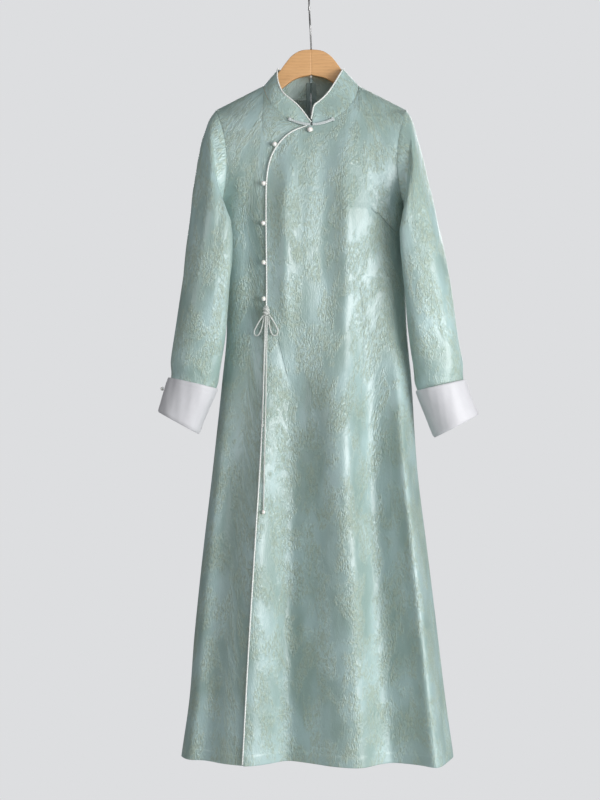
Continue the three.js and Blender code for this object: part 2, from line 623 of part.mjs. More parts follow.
// Collar: a point by the angle from the centre front, and by its share of the band's full height
function collarPoint(sign, angle, height) {
  const turn = (angle * Math.PI) / 180;
  const isFront = angle <= 90;
  const cos = Math.abs(Math.cos(turn));
  const sin = Math.sin(turn);
  const s = (sign * NECK_SHARE * (isFront ? angle : 180 - angle)) / 90;
  const [footAside, footDrop] = topEdge(isFront ? "front" : "back", s);
  const foot = isFront ? frontAt(CENTRE_X + footAside, footDrop) : backAt(CENTRE_X + footAside, footDrop);
  const lean = sign < 0 && isFront ? COLLAR_LEAN_LEFT * Math.sin(2 * turn) : 0;
  const top = V(
    CENTRE_X + sign * (COLLAR_TOP.x * sin + lean * 0.6),
    (isFront ? COLLAR_TOP.frontY : COLLAR_TOP.backY) * cos ** 0.8 - lean,
    -lerp(COLLAR_TOP.side, isFront ? COLLAR_TOP.front : COLLAR_TOP.back, cos ** (isFront ? 2.3 : 2)),
  );
  const rise = top.clone().sub(foot);
  const share = SEAM_GAP / rise.length();
  return foot.addScaledVector(rise, share + height * (1 - share));
}
const collarCut = (sign, angle) => read(COLLAR_CUT, "angle", sign < 0 ? "left" : "right", angle);

const COLLAR_ANGLES = [1, 4, 8, 13, 19, 26, 35, 45, 56, 67, 78, 90, 104, 118, 132, 146, 160, 172, 179.35];
const PIPING_END = 178.7; // the piping stops just short of the zip
function collar(sign) {
  const heights = [1, 0.66, 0.33, 0];
  const grid = heights.map((h) => COLLAR_ANGLES.map((a) => collarPoint(sign, a, h * collarCut(sign, a))));
  const steer = (out, j, i) => {
    const angle = COLLAR_ANGLES[i];
    const isFront = angle <= 90;
    const s = (sign * NECK_SHARE * (isFront ? angle : 180 - angle)) / 90;
    if (j === grid.length - 1) out.copy(neckCut(isFront ? "front" : "back", s));
  };
  return clothWall(grid, CLOTH, { flip: sign > 0, steer });
}
function collarPiping(sign) {
  const path = [...COLLAR_ANGLES.slice(0, -1), PIPING_END].map((a) => {
    const edge = collarPoint(sign, a, collarCut(sign, a));
    const below = collarPoint(sign, a, collarCut(sign, a) - 0.1);
    const before = collarPoint(sign, a - 1, collarCut(sign, Math.max(0, a - 1)));
    const after = collarPoint(sign, Math.min(180, a + 1), collarCut(sign, a + 1));
    const along = after.sub(before).normalize();
    const up = edge.clone().sub(below);
    up.addScaledVector(along, -up.dot(along)).normalize();
    return edge.addScaledVector(up, PIPING_R + 1.5 * SEAM_GAP);
  });
  return cordAlong(path, PIPING_R, 30, 6);
}
for (const [name, sign] of [["right", 1], ["left", -1]]) {
  add(`collar_${name}`, collar(sign), JACQUARD);
  add(`collar_piping_${name}`, collarPiping(sign), PIPING);
}

// A place beside the lapping edge, square to it, away from the front panel
function besidePlacket(drop, distance, out = 0) {
  const ahead = placketX(drop + 2) - placketX(drop - 2);
  const along = V(ahead, 0, -4).normalize();
  return frontAt(placketX(drop) + along.z * distance, drop + along.x * distance, out);
}
// Its stations are the front panel's own rows
const placketPath = PANEL_ROWS.map((row) => {
  const [, drop] = placeOf("front", placketS(row), row);
  return besidePlacket(drop, PIPING_R + SEAM_GAP);
}).slice(1);
add("placket_piping", cordAlong(placketPath, PIPING_R, 56, 6), PIPING);

// Pearl buttons down the lapping edge, and the one that fastens the collar
PEARL_DROPS.forEach((drop, k) => {
  add(`pearl_${k + 1}`, pearlShape(PEARL_R), PEARL).position.copy(besidePlacket(drop, PEARL_ASIDE, PEARL_OUT));
});
const neckPearl = frontAt(CENTRE_X - 2.5, NECK.front + 9.5, NECK_PEARL_R + SEAM_GAP);
add("neck_pearl", pearlShape(NECK_PEARL_R), PEARL).position.copy(neckPearl);

// The frog fastening: one arm each side of the centre front, lying along the neck seam, its end a small roll
const FROG = { angles: [3, 8, 13, 18, 22, 25, 26.5], width: 5, thick: 2.6, lift: 1.3, swell: [1.25, 0.8] };
function frogArm(sign) {
  const sections = FROG.angles.map((angle, k, all) => {
    const foot = collarPoint(sign, angle, 0);
    const next = collarPoint(sign, angle + 1, 0);
    const along = next.sub(foot).normalize();
    const out = V(foot.x * 0.002, -1, 0.08).normalize();
    const wide = out.clone().cross(along).normalize();
    const swell = FROG.swell[k - all.length + 2] ?? 1;
    const centre = foot.addScaledVector(out, FROG.thick / 2 + FROG.lift);
    return Array.from({ length: 8 }, (_, i) => {
      const a = (i * Math.PI) / 4;
      return centre
        .clone()
        .addScaledVector(wide, (Math.cos(a) * FROG.width * swell) / 2)
        .addScaledVector(out, (Math.sin(a) * FROG.thick * swell) / 2);
    });
  });
  return loft(sections);
}
add("frog_right", frogArm(1), JACQUARD);
add("frog_left", frogArm(-1), JACQUARD);

// The bow: a wrapped knot, two loops and two hanging ends
const knotX = placketX(KNOT.drop) + KNOT.aside;
const knotCentre = frontAt(knotX, KNOT.drop, KNOT.out);
const knotProfile = [
  [0, 9.5], [2.6, 9.2], [3.2, 7.4], [2.4, 6.4], [4.8, 4.6], [6.2, 2.2], [5.4, 0.6],
  [6.4, -1.4], [5.7, -3.2], [6.2, -5.4], [5.2, -7.6], [0, -8.2],
].map(([r, z]) => new THREE.Vector2(r, z));
const knot = new THREE.LatheGeometry(knotProfile.reverse(), 10).rotateX(Math.PI / 2);
knot.scale(1, KNOT.flatness, 1);
add("bow_knot", knot, CORD).position.copy(knotCentre);

function bowLoop(offsets) {
  const path = offsets.map(([dx, dz], k) => {
    const lift = k < offsets.length / 2 ? LOOP_LIFT.over : LOOP_LIFT.under;
    return frontAt(knotX + dx, KNOT.drop - dz, CORD_R + lift);
  });
  return cordAlong(path, CORD_R, 18);
}
add("bow_loop_left", bowLoop(LOOPS.left), CORD);
add("bow_loop_right", bowLoop(LOOPS.right), CORD);

const tailLong = [0, 0.04, 0.12, 0.25, 0.4, 0.55, 0.7, 0.85, 1].map((t) => {
  const drop = lerp(TAIL.top, TAIL.longEnd, t);
  const x = lerp(knotX + 1.4, placketX(TAIL.longEnd) + 9.6, t ** 1.2);
  return frontAt(x, drop, lerp(TAIL.outTop, TAIL.outLow, smooth(0, 0.15, t)));
});
const tailShort = [0, 0.05, 0.15, 0.35, 0.6, 0.8, 1].map((t) => {
  const drop = lerp(TAIL.top, TAIL.shortEnd, t);
  const out = lerp(TAIL.outTop, TAIL.outLow, smooth(0, 0.25, t));
  return frontAt(lerp(knotX - 1.4, knotX - 6.5, t ** 0.8), drop, out);
});
add("tail_long", cordAlong(tailLong, CORD_R, 46), CORD);
add("tail_short", cordAlong(tailShort, CORD_R, 28), CORD);
const tailKnot = new THREE.SphereGeometry(TAIL.knotR, 8, 6);
const below = (point, distance) => point.clone().add(V(0, 0, -distance));
add("tail_short_knot", tailKnot, CORD).position.copy(below(tailShort.at(-1), TAIL.knotR + SEAM_GAP));
add("tail_pearl", pearlShape(TAIL_PEARL_R), PEARL).position.copy(
  below(tailLong.at(-1), TAIL_PEARL_R + SEAM_GAP).add(V(0, -1.2, 0)),
);

// The zip inside the centre back: two tapes and the coil between them as one strip. It climbs the collar and
// follows the back panels' own rows
function zipStrip() {
  const onCollar = [ZIP.top, 0.5, 0.25].map((height) => collarPoint(1, 180, height));
  const onBack = PANEL_ROWS.map((row) => bodyPoint("back", 0, row)).filter(({ z }) => z > -ZIP.bottom);
  const line = [...onCollar, ...onBack].map((point) => point.clone().setX(CENTRE_X));
  const sections = line.map((point, k) => {
    const along = line[Math.min(k + 1, line.length - 1)].clone().sub(line[Math.max(0, k - 1)]).normalize();
    const inward = V(1, 0, 0).cross(along).normalize();
    if (inward.y > 0) inward.negate();
    const near = CLOTH + 1;
    const profile = [
      [-ZIP.tape, near], [-ZIP.tape, near + ZIP.tapeThick], [-ZIP.coil, near + ZIP.tapeThick],
      [-ZIP.coil * 0.7, near + ZIP.coilThick], [ZIP.coil * 0.7, near + ZIP.coilThick],
      [ZIP.coil, near + ZIP.tapeThick], [ZIP.tape, near + ZIP.tapeThick], [ZIP.tape, near],
    ];
    return profile.map(([across, deep]) => point.clone().addScaledVector(inward, deep).add(V(across, 0, 0)));
  });
  return loft(sections);
}
add("zip", zipStrip(), ZIP_TAPE);

// The slider and its pull tab, drawn flat and then laid on the back of the collar: x across, y out, z up
const SLIDER = { width: 5.2, height: 8.4, thick: 1.6, slot: 0.8, wire: 1.2, arch: 2.4, reach: 2.8, gap: 0.6 };
const collarTopBack = collarPoint(1, 180, 0.86).setX(CENTRE_X);
const collarFootBack = collarPoint(1, 180, 0.2).setX(CENTRE_X);
const slope = Math.atan2(collarFootBack.y - collarTopBack.y, collarTopBack.z - collarFootBack.z);
const zipHardware = new THREE.Group();
zipHardware.position.copy(collarTopBack);
zipHardware.rotation.x = slope;
garment.add(zipHardware);

const wasm = await Module();
wasm.setup();
function solidOf(geometry) {
  const bare = geometry.clone();
  bare.deleteAttribute("normal");
  bare.deleteAttribute("uv");
  const merged = mergeVertices(bare, 1e-4);
  return new wasm.Manifold(
    new wasm.Mesh({
      numProp: 3,
      vertProperties: new Float32Array(merged.getAttribute("position").array),
      triVerts: new Uint32Array(merged.index.array),
    }),
  );
}
function geometryOf(solid) {
  const mesh = solid.getMesh();
  const geometry = new THREE.BufferGeometry();
  geometry.setAttribute("position", new THREE.BufferAttribute(new Float32Array(mesh.vertProperties), 3));
  geometry.setIndex(new THREE.BufferAttribute(new Uint32Array(mesh.triVerts), 1));
  geometry.computeVertexNormals();
  return geometry;
}
const boxAt = (w, d, h, x, y, z) => new THREE.BoxGeometry(w, d, h).translate(x, y, z);

const FACE = SLIDER.gap + SLIDER.thick; // the slider's outer face, above the cloth
const innerFace = -CLOTH - SLIDER.gap;
const archOut = FACE + SLIDER.arch;
const archLeg = (z) => boxAt(SLIDER.wire, SLIDER.arch + 0.4, SLIDER.wire, 0, FACE + SLIDER.arch / 2, z);
const slider = [
  boxAt(SLIDER.width, SLIDER.thick, SLIDER.height, 0, FACE - SLIDER.thick / 2, 0),
  boxAt(SLIDER.width, SLIDER.thick, SLIDER.height, 0, innerFace - SLIDER.thick / 2, 0),
  boxAt(SLIDER.slot, FACE - innerFace, SLIDER.height * 0.8, 0, (FACE + innerFace) / 2, 0),
  boxAt(SLIDER.wire, SLIDER.wire, 2 * SLIDER.reach, 0, archOut + SLIDER.wire / 2 - 0.2, 0),
  archLeg(SLIDER.reach - SLIDER.wire / 2),
  archLeg(-SLIDER.reach + SLIDER.wire / 2),
]
  .map(solidOf)
  .reduce((whole, piece) => whole.add(piece));
add("zip_slider", geometryOf(slider), METAL, zipHardware);

// The tab hangs by a bar through the slider's arch, which passes through the tab's own eye
const TAB = { bar: 0.5, eyeWidth: 2.4, eyeLength: 4.4, width: 5, length: 24, thick: 1.0 };
const pivotOut = FACE + 1.1;
function tabOutline() {
  const shape = new THREE.Shape();
  shape.moveTo(-TAB.eyeWidth / 2 - 0.9, TAB.bar);
  shape.lineTo(TAB.eyeWidth / 2 + 0.9, TAB.bar);
  shape.lineTo(TAB.eyeWidth / 2 + 0.9, -TAB.eyeLength - 1.4);
  shape.quadraticCurveTo(TAB.width / 2, -TAB.length * 0.5, TAB.width / 2, -TAB.length * 0.8);
  shape.quadraticCurveTo(TAB.width / 2, -TAB.length, 0, -TAB.length);
  shape.quadraticCurveTo(-TAB.width / 2, -TAB.length, -TAB.width / 2, -TAB.length * 0.8);
  shape.quadraticCurveTo(-TAB.width / 2, -TAB.length * 0.5, -TAB.eyeWidth / 2 - 0.9, -TAB.eyeLength - 1.4);
  shape.closePath();
  const eye = new THREE.Path();
  eye.moveTo(-TAB.eyeWidth / 2, -TAB.bar);
  eye.lineTo(-TAB.eyeWidth / 2, -TAB.bar - TAB.eyeLength);
  eye.lineTo(TAB.eyeWidth / 2, -TAB.bar - TAB.eyeLength);
  eye.lineTo(TAB.eyeWidth / 2, -TAB.bar);
  eye.closePath();
  shape.holes.push(eye);
  return shape;
}
const tab = new THREE.ExtrudeGeometry(tabOutline(), { depth: TAB.thick, bevelEnabled: false, curveSegments: 5 })
  .translate(0, 0, -TAB.thick / 2)
  .rotateX(Math.PI / 2);
const pullTab = add("zip_pull_tab", tab, METAL, zipHardware);
pullTab.position.set(0, pivotOut, 0);

// The hanger: a flat curved board, bored for the hook
function hangerOutline() {
  const along = (table, count) =>
    Array.from({ length: count + 1 }, (_, k) => {
      const x = (k * table.at(-1).x) / count;
      return [x, -read(table, "x", "drop", x)];
    });
  const top = along(HANGER_TOP, 11);
  const slack = (x) => CLOTH + lerp(1.8, 4.4, (x - NECK.x) / (HANGER_TIP - NECK.x));
  for (const x of [94, 115, 140, HANGER_TIP - 6]) top.push([x, -shoulderDrop(x) - slack(x)]);
  const bottom = along(HANGER_BOTTOM, 8).reverse();
  const tip = [[HANGER_TIP, -shoulderDrop(HANGER_TIP) - slack(HANGER_TIP) - 4], [HANGER_TIP + 1, -230]];
  const right = [...top, ...tip, ...bottom];
  const left = right.slice(1, -1).reverse().map(([x, z]) => [-x, z]);
  const shape = new THREE.Shape();
  [...right, ...left].forEach(([x, z], k) => (k ? shape.lineTo(x, z) : shape.moveTo(x, z)));
  shape.closePath();
  return shape;
}
const EDGE = 3.5; // rounded edge of the board
const board = new THREE.ExtrudeGeometry(hangerOutline(), {
  depth: HANGER_THICK - 2 * EDGE,
  bevelEnabled: true,
  bevelThickness: EDGE,
  bevelSize: EDGE,
  bevelOffset: -EDGE,
  bevelSegments: 2,
})
  .translate(0, 0, -HANGER_THICK / 2 + EDGE)
  .rotateX(Math.PI / 2)
  .translate(CENTRE_X, 0, 0);
const bore = new THREE.CylinderGeometry(HOOK.wire + HOOK.fit, HOOK.wire + HOOK.fit, 2 * HOOK.seat, 16)
  .rotateX(Math.PI / 2)
  .translate(CENTRE_X, 0, -HANGER_TOP[0].drop);
add("hanger_board", geometryOf(solidOf(board).subtract(solidOf(bore))), WOOD);

// The hook: up from the board, out to the front, over the rod and down behind it
const turnR = HOOK.inner + HOOK.wire;
const hookPath = [
  V(CENTRE_X, 0, -HANGER_TOP[0].drop - HOOK.seat + 1),
  V(CENTRE_X, 0, -HANGER_TOP[0].drop),
  V(3, 0, -74),
  V(2.2, -3, -58),
  V(1.2, -12, -43),
  V(0.5, -18.2, -31),
  ...[180, 150, 120, 90, 60, 30, 0, -18].map((a) => {
    const turn = (a * Math.PI) / 180;
    return V(0, turnR * Math.cos(turn), -HOOK.inner + turnR * Math.sin(turn));
  }),
];
add("hanger_hook", cordAlong(hookPath, HOOK.wire, 44), STEEL);

export default garment;
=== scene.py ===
# A long sage jacquard cheongsam on its wooden hanger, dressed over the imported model. Lengths in the tables
# are millimetres and "drop" is the distance down from the hook's rest point; meshes are made in metres.
import math

import bmesh
import bpy
import numpy as np
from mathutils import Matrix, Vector


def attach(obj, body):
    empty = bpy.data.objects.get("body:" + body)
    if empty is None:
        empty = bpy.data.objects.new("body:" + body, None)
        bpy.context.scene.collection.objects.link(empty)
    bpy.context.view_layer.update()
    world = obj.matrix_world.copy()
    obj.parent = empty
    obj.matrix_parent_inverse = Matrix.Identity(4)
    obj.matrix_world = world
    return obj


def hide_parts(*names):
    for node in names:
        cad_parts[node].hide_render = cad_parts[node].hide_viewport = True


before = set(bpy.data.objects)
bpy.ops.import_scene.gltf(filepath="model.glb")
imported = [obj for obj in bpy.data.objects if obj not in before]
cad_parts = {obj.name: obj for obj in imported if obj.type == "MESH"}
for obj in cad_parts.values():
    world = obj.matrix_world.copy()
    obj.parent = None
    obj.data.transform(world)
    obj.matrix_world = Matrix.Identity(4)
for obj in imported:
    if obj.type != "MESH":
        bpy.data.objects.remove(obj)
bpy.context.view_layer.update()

scene = bpy.context.scene
MM = 0.001

# The camera, at the photograph's angle
camera_data = bpy.data.cameras.new("camera")
camera_data.lens = 77.84
camera_data.sensor_width = 36
camera_data.sensor_fit = "AUTO"
camera_data.dof.use_dof = False
camera = bpy.data.objects.new("camera", camera_data)
camera.location = (-0.01665, -3.2, -0.749)
camera.rotation_euler = (math.pi / 2, 0, 0)
scene.collection.objects.link(camera)
scene.camera = camera


# Tables, which repeat the source's
def columns(names, rows):
    table = {name: np.array([row[k] for row in rows], float) for k, name in enumerate(names.split())}
    table["index"] = np.arange(len(rows), dtype=float)
    return table


CENTRE_X = 4
SEAM_GAP = 0.4
HEM_DROP = 1406
UNDERARM_DROP = 400
TIP_X, TIP_DROP = 176, 213
NECK_X, NECK_SIDE, NECK_FRONT, NECK_BACK = 88, 168, 248, 190
NECK_SHARE = 0.5
NECK_SLOPE = 0.3
SHOULDER_ROUND = 62
ARM_DEPTH = 46
ARM_INDENT = 18
ARM_BLEND = 3
RING_POWER = 2.2
LAP = 22
LAP_INSET = (2.3, 5.5)
LAP_DEEPENS = (400, 800)
LAP_FADE = 55
ZIP_SLOT = 1.6
PIPING_R = 1.4
PIPING_OFF = PIPING_R + 0.2
CORD_R = 1.2
PEARL_R = 4.1
CLOTH = 1.0
BODY = columns("drop left right front back", [
    (168, 176, 176, 30, 30), (213, 176, 176, 44, 42), (250, 176, 176, 51, 46), (320, 172, 174, 62, 52),
    (400, 168, 172, 68, 56), (500, 161, 173, 64, 52), (620, 156, 177, 58, 48), (720, 165, 186, 60, 56),
    (805, 174, 191, 62, 64), (895, 184, 198, 63, 70), (1030, 200, 215, 64, 74), (1185, 216, 234, 64, 76),
    (1300, 225, 248, 63, 78), (1406, 240, 263, 62, 78),
])
# Folds: place across, width, depth and the drops where one begins and is full. One that ends above the hem
# also has the drops where it wanes and is gone.
FOLDS = {
    "front": [
        (-0.95, 0.09, 33, 616, 986), (-0.695, 0.112, 14, 791, 1433), (-0.306, 0.113, 10, 691, 1477),
        (0.208, 0.187, 42, 560, 860), (0.793, 0.26, 67, 633, 1087), (-0.517, 0.17, 46, 520, 1040),
        (-0.19, 0.12, -16, 520, 1320), (0.367, 0.122, 28, 520, 920), (0.612, 0.148, -21, 560, 800),
        (0.88, 0.09, 73, 580, 996), (-0.26, 0.12, 5, 230, 330, 480, 640),
        (0.12, 0.12, -5, 240, 340, 480, 640),
        (0.42, 0.13, 7, 215, 330, 440, 640), (0.74, 0.11, -7, 240, 340, 470, 640),
        (-0.7, 0.12, -7, 240, 340, 520, 700), (-0.3, 0.09, 8, 300, 420, 560, 680),
        (0.36, 0.09, 6, 300, 420, 600, 700),
    ],
    "back": [
        (-0.8, 0.13, 24, 700, 1406), (-0.52, 0.14, -26, 560, 1350), (-0.2, 0.15, 18, 700, 1406),
        (0.1, 0.14, -20, 760, 1406), (0.38, 0.14, 24, 600, 1406), (0.66, 0.13, -24, 640, 1350),
        (0.88, 0.1, 18, 800, 1406), (-0.45, 0.15, -6, 240, 340, 480, 640),
        (0.45, 0.15, -6, 240, 340, 480, 640),
    ],
}
PLACKET = columns("drop x", [
    (248, 0), (261, -33), (285, -59), (317, -74.5), (366, -80.4), (563, -80), (720, -85), (830, -89),
    (1006, -99.5), (1192, -111), (1406, -122.5),
])
RING_COLUMNS = "outer outerDrop inner innerDrop y depth lean"
SLEEVES = {
    "right": columns(RING_COLUMNS, [
        (176, 213, 172, 400, 0, 46, 0), (187, 234, 177, 403, -5, 50, 0.1),
        (196, 268, 177, 409, -14, 53, 0.18), (205, 308, 173, 417, -25, 54, 0.24),
        (214, 354, 167, 430, -34, 53, 0.28), (226, 405, 163, 452, -40, 50, 0.3),
        (241, 470, 165, 496, -42, 48, 0.3), (255, 545, 172, 560, -40, 45, 0.28),
        (267, 620, 178, 632, -36, 42, 0.22), (277, 678, 188, 698, -32, 40, 0.14),
        (279, 713, 195, 733, -30, 38, 0.1), (303, 772, 225.7, 812, -28, 39.2, 0.05),
    ]),
    "left": columns(RING_COLUMNS, [
        (176, 213, 168, 400, 0, 46, 0), (190, 236, 172, 403, -7, 50, 0.12),
        (200, 272, 170, 409, -18, 53, 0.22), (206, 313, 162, 417, -32, 54, 0.3),
        (211, 355, 153, 430, -44, 53, 0.34), (217, 405, 147, 452, -51, 50, 0.35),
        (226, 470, 147, 496, -52, 48, 0.34), (236, 545, 152, 560, -48, 45, 0.3),
        (248, 620, 157, 632, -42, 42, 0.24), (257, 676, 166, 694, -36, 40, 0.14),
        (257, 710, 175, 730, -33, 38, 0.1), (277.8, 768, 205.8, 807, -30, 39.2, 0.05),
    ]),
}
CUFFS = {
    "right": columns(RING_COLUMNS, [(284, 711, 190, 733, -31, 44, 0.1), (307, 775, 225, 818, -28, 42, 0.05)]),
    "left": columns(RING_COLUMNS, [
        (263, 707, 170.5, 729, -34, 44, 0.1), (281.5, 770, 204, 812, -30, 42, 0.05),
    ]),
}
CUFF_SLIT = {"left": 0, "right": 0.8, "top": 1.2, "bottom": 7, "pearl": 0.36}
CUFF_PEARL_R = 3.3
CUFF_CLOTH = 1.6
TAIL_LONG_END = 946
TAIL_SHORT_END = 792
COLLAR_TOP = {"x": 61, "side": 139, "front": 208, "back": 146, "frontY": -38, "backY": 29}
COLLAR_CUT = columns("angle left right", [
    (0, 0.06, 0.12), (5, 0.28, 0.84), (12, 0.55, 0.97), (20, 0.7, 1), (30, 0.72, 1), (45, 0.66, 1),
    (60, 0.76, 1), (76, 0.95, 1), (90, 1, 1), (180, 1, 1),
])
COLLAR_LEAN_LEFT = 10
HANGER_TOP = columns("x drop", [
    (0, 101), (20, 103.5), (36, 113), (47, 126), (57, 139.5), (66.5, 150.5), (75, 161), (82, 169.8),
    (88, 173.4),
])
HANGER_BOTTOM = columns("x drop", [(0, 148.5), (30, 156.5), (56, 175.5), (85, 200), (120, 219), (164, 238)])
HANGER_TIP = 168
HANGER_THICK = 12
HOOK_WIRE = 1.6
HOOK_INNER = 18
HOOK_SEAT = 22
KNOT_DROP = 587
KNOT_OUT = 6.4
LOOPS = {
    "left": [(-5.3, -7.9), (-11.5, -17), (-18, -28), (-22, -38), (-20, -44.5), (-15, -44), (-9, -33),
             (-3.8, -10.3)],
    "right": [(5.3, -7.9), (11.5, -17), (18, -28), (21, -37), (18, -44.5), (12, -44), (7, -33), (3.9, -10.3)],
}
TAIL_TOP = KNOT_DROP + 9.2
PEARL_DROPS = [288, 356, 428, 499, 565]
PEARL_ASIDE, PEARL_OUT = 6.8, 4.0


# Numbers
def lerp(a, b, t):
    return a + (b - a) * t


def smooth(a, b, v):
    t = np.clip((v - a) / (b - a), 0, 1)
    return t * t * (3 - 2 * t)


def hermite(t, a, slope_a, b, slope_b):
    t2 = t * t
    t3 = t2 * t
    first = (2 * t3 - 3 * t2 + 1) * a + (t3 - 2 * t2 + t) * slope_a
    return first + (3 * t2 - 2 * t3) * b + (t3 - t2) * slope_b


def read(table, key, column, value):
    """A column's smooth value at a value of the key column."""
    keys = table[key]
    vals = table[column]
    value = np.clip(value, keys[0], keys[-1])
    last = len(keys) - 1
    i = np.clip(np.searchsorted(keys, value, side="left") - 1, 0, last - 1)
    k = np.arange(len(keys))
    after = np.minimum(last, k + 1)
    before = np.maximum(0, k - 1)
    slopes = (vals[after] - vals[before]) / (keys[after] - keys[before])
    span = keys[i + 1] - keys[i]
    return hermite((value - keys[i]) / span, vals[i], span * slopes[i], vals[i + 1], span * slopes[i + 1])


def unit(v):
    return v / np.maximum(np.linalg.norm(v, axis=-1, keepdims=True), 1e-9)


def run_along(line):
    """The distance from a line's first point to each of its points."""
    return np.concatenate([[0], np.cumsum(np.linalg.norm(np.diff(line, axis=0), axis=1))])


def at_run(values, run, at):
    return np.stack([np.interp(at, run, values[:, k]) for k in range(3)], -1)


def round_angles(sides):
    return np.arange(sides) * 2 * math.pi / sides


def turn_between(a, b):
    return (a - b + math.pi) % (2 * math.pi) - math.pi


# Smooth seeded noise from -1 to 1 over a plane, with cells of one unit
LATTICE_SIZE = 64
LATTICE = np.random.default_rng(7).uniform(-1, 1, (LATTICE_SIZE, LATTICE_SIZE))


def noise(u, v, shift=0):
    u = np.asarray(u, float) + 17.3 * shift
    v = np.asarray(v, float) + 9.1 * shift
    iu = np.floor(u).astype(int)
    iv = np.floor(v).astype(int)
    fu = smooth(0, 1, u - iu)
    at = lambda a, b: LATTICE[a % LATTICE_SIZE, b % LATTICE_SIZE]
    low = lerp(at(iu, iv), at(iu + 1, iv), fu)
    high = lerp(at(iu, iv + 1), at(iu + 1, iv + 1), fu)
    return lerp(low, high, smooth(0, 1, v - iv))


# The body's surface
def shoulder_drop(aside):
    inside = NECK_SIDE - (NECK_X - aside) * NECK_SLOPE
    outside = NECK_SIDE + (aside - NECK_X) * (TIP_DROP - NECK_SIDE) / (TIP_X - NECK_X)
    return np.where(aside < NECK_X, inside, outside)


def neck_drop(face, turn):
    low, power = (NECK_FRONT, 1.2) if face == "front" else (NECK_BACK, 2)
    return lerp(NECK_SIDE, low, turn**power)


def top_line(face, x):
    aside = np.abs(x - CENTRE_X)
    turn = np.sqrt(np.maximum(0, 1 - np.minimum(1, aside / NECK_X) ** 2))
    return np.where(aside < NECK_X, neck_drop(face, turn), shoulder_drop(aside))


def arm_share(drop):
    return np.clip((drop - TIP_DROP) / (UNDERARM_DROP - TIP_DROP), 0, 1)


def reach(side, drop):
    share = arm_share(drop)
    under = read(BODY, "drop", side, UNDERARM_DROP)
    arm = lerp(TIP_X, under, share) - ARM_INDENT * 4 * share * (1 - share)
    return np.where(drop >= UNDERARM_DROP, read(BODY, "drop", side, drop), arm)


def reach_at(s, drop):
    return np.where(s < 0, reach("left", drop), reach("right", drop))


def across_at(x, drop):
    aside = x - CENTRE_X
    return np.clip(aside / reach_at(aside, drop), -1, 1)


def depth_at(face, x, drop):
    x = np.asarray(x, float)
    drop = np.asarray(drop, float)
    across = across_at(x, drop)
    rounded = (1 - np.abs(across) ** RING_POWER) ** (1 / RING_POWER)
    share = arm_share(drop)
    arm = (ARM_DEPTH * 2 * np.sqrt(share * (1 - share))) ** ARM_BLEND
    over = 1 - np.clip((drop - shoulder_drop(np.abs(x - CENTRE_X))) / SHOULDER_ROUND, 0, 1)
    crown = np.sqrt(1 - over * over)
    full = read(BODY, "drop", face, drop)
    for at, width, depth, begin, grown, *wane in FOLDS[face]:
        strength = smooth(begin, grown, drop)
        if wane:
            strength = strength * (1 - smooth(*wane, drop))
        full = full + depth * strength * np.exp(-(((across - at) / width) ** 2))
    return (arm + ((full * crown) ** ARM_BLEND - arm) * rounded**ARM_BLEND) ** (1 / ARM_BLEND)


def top_edge(face, s):
    """The neck and shoulder line at a panel's column: place across and drop."""
    sign = np.where(s < 0, -1, 1)
    part = np.abs(s) / NECK_SHARE
    angle = np.minimum(part, 1) * math.pi / 2
    neck_fall = neck_drop(face, np.maximum(0, np.cos(angle)))
    out = (np.abs(s) - NECK_SHARE) / (1 - NECK_SHARE)
    across = np.where(part <= 1, NECK_X * np.sin(angle), lerp(NECK_X, TIP_X, out))
    return sign * across, np.where(part <= 1, neck_fall, lerp(NECK_SIDE, TIP_DROP, out))


def place_of(face, s, row):
    """The x and drop at a column and a row; row 0 is the top edge, 1 the underarm and 2 the hem."""
    s, row = np.broadcast_arrays(np.asarray(s, float), np.asarray(row, float))
    swing = np.sin(s * math.pi / 2)
    low_drop = lerp(UNDERARM_DROP, HEM_DROP, np.maximum(row, 1) - 1)
    top_x, top_drop = top_edge(face, s)
    t = (s + 1) / 2
    up = np.minimum(row, 1)
    edge_drop = lerp(TIP_DROP, UNDERARM_DROP, up)
    edge_x, under_edge_x = (lerp(-reach("left", at), reach("right", at), t)
                            for at in (edge_drop, UNDERARM_DROP))
    corner_x = lerp(lerp(-TIP_X, TIP_X, t), under_edge_x, up)
    high_x = lerp(top_x, reach_at(s, UNDERARM_DROP) * swing, up) + edge_x - corner_x
    high_drop = lerp(top_drop, UNDERARM_DROP, up)
    below = row >= 1
    x = np.where(below, reach_at(s, low_drop) * swing, high_x)
    return CENTRE_X + x, np.where(below, low_drop, high_drop)


def placket_x(drop):
    return CENTRE_X + read(PLACKET, "drop", "x", drop)


HALVINGS = 34


def placket_s(row, beyond=0):
    """The column where a row meets the lapping edge, found by halving."""
    low = np.full(np.shape(row), -0.95)
    high = np.full(np.shape(row), 0.5)
    for _ in range(HALVINGS):
        mid = (low + high) / 2
        x, drop = place_of("front", mid, row)
        short = x < placket_x(drop) + beyond
        low = np.where(short, mid, low)
        high = np.where(short, high, mid)
    return (low + high) / 2


# Soft ripples of hanging cloth, finer than the source's folds, with none beside seams and the lapping edge:
# each is wide, tall and high, and takes its own stretch of the noise
RIPPLES = [(30, 190, 1.3, 1), (13, 62, 0.55, 2), (6.5, 30, 0.2, 3)]


def ripple(face, x, drop):
    calm = (1 - np.abs(across_at(x, drop)) ** 6) * smooth(6, 40, drop - top_line(face, x))
    if face == "front":
        calm = calm * smooth(3, 20, np.abs(x - placket_x(drop)))
    face_shift = 0 if face == "front" else 5
    return calm * sum(high * noise(x / wide, drop / tall, shift + face_shift)
                      for wide, tall, high, shift in RIPPLES)


def outward_at(face, x, drop):
    step = 0.5
    across = (depth_at(face, x + step, drop) - depth_at(face, x - step, drop)) / (2 * step)
    down = (depth_at(face, x, drop + step) - depth_at(face, x, drop - step)) / (2 * step)
    front = np.full(np.shape(across), -1.0 if face == "front" else 1.0)
    return unit(np.stack([-across, front, down], -1))


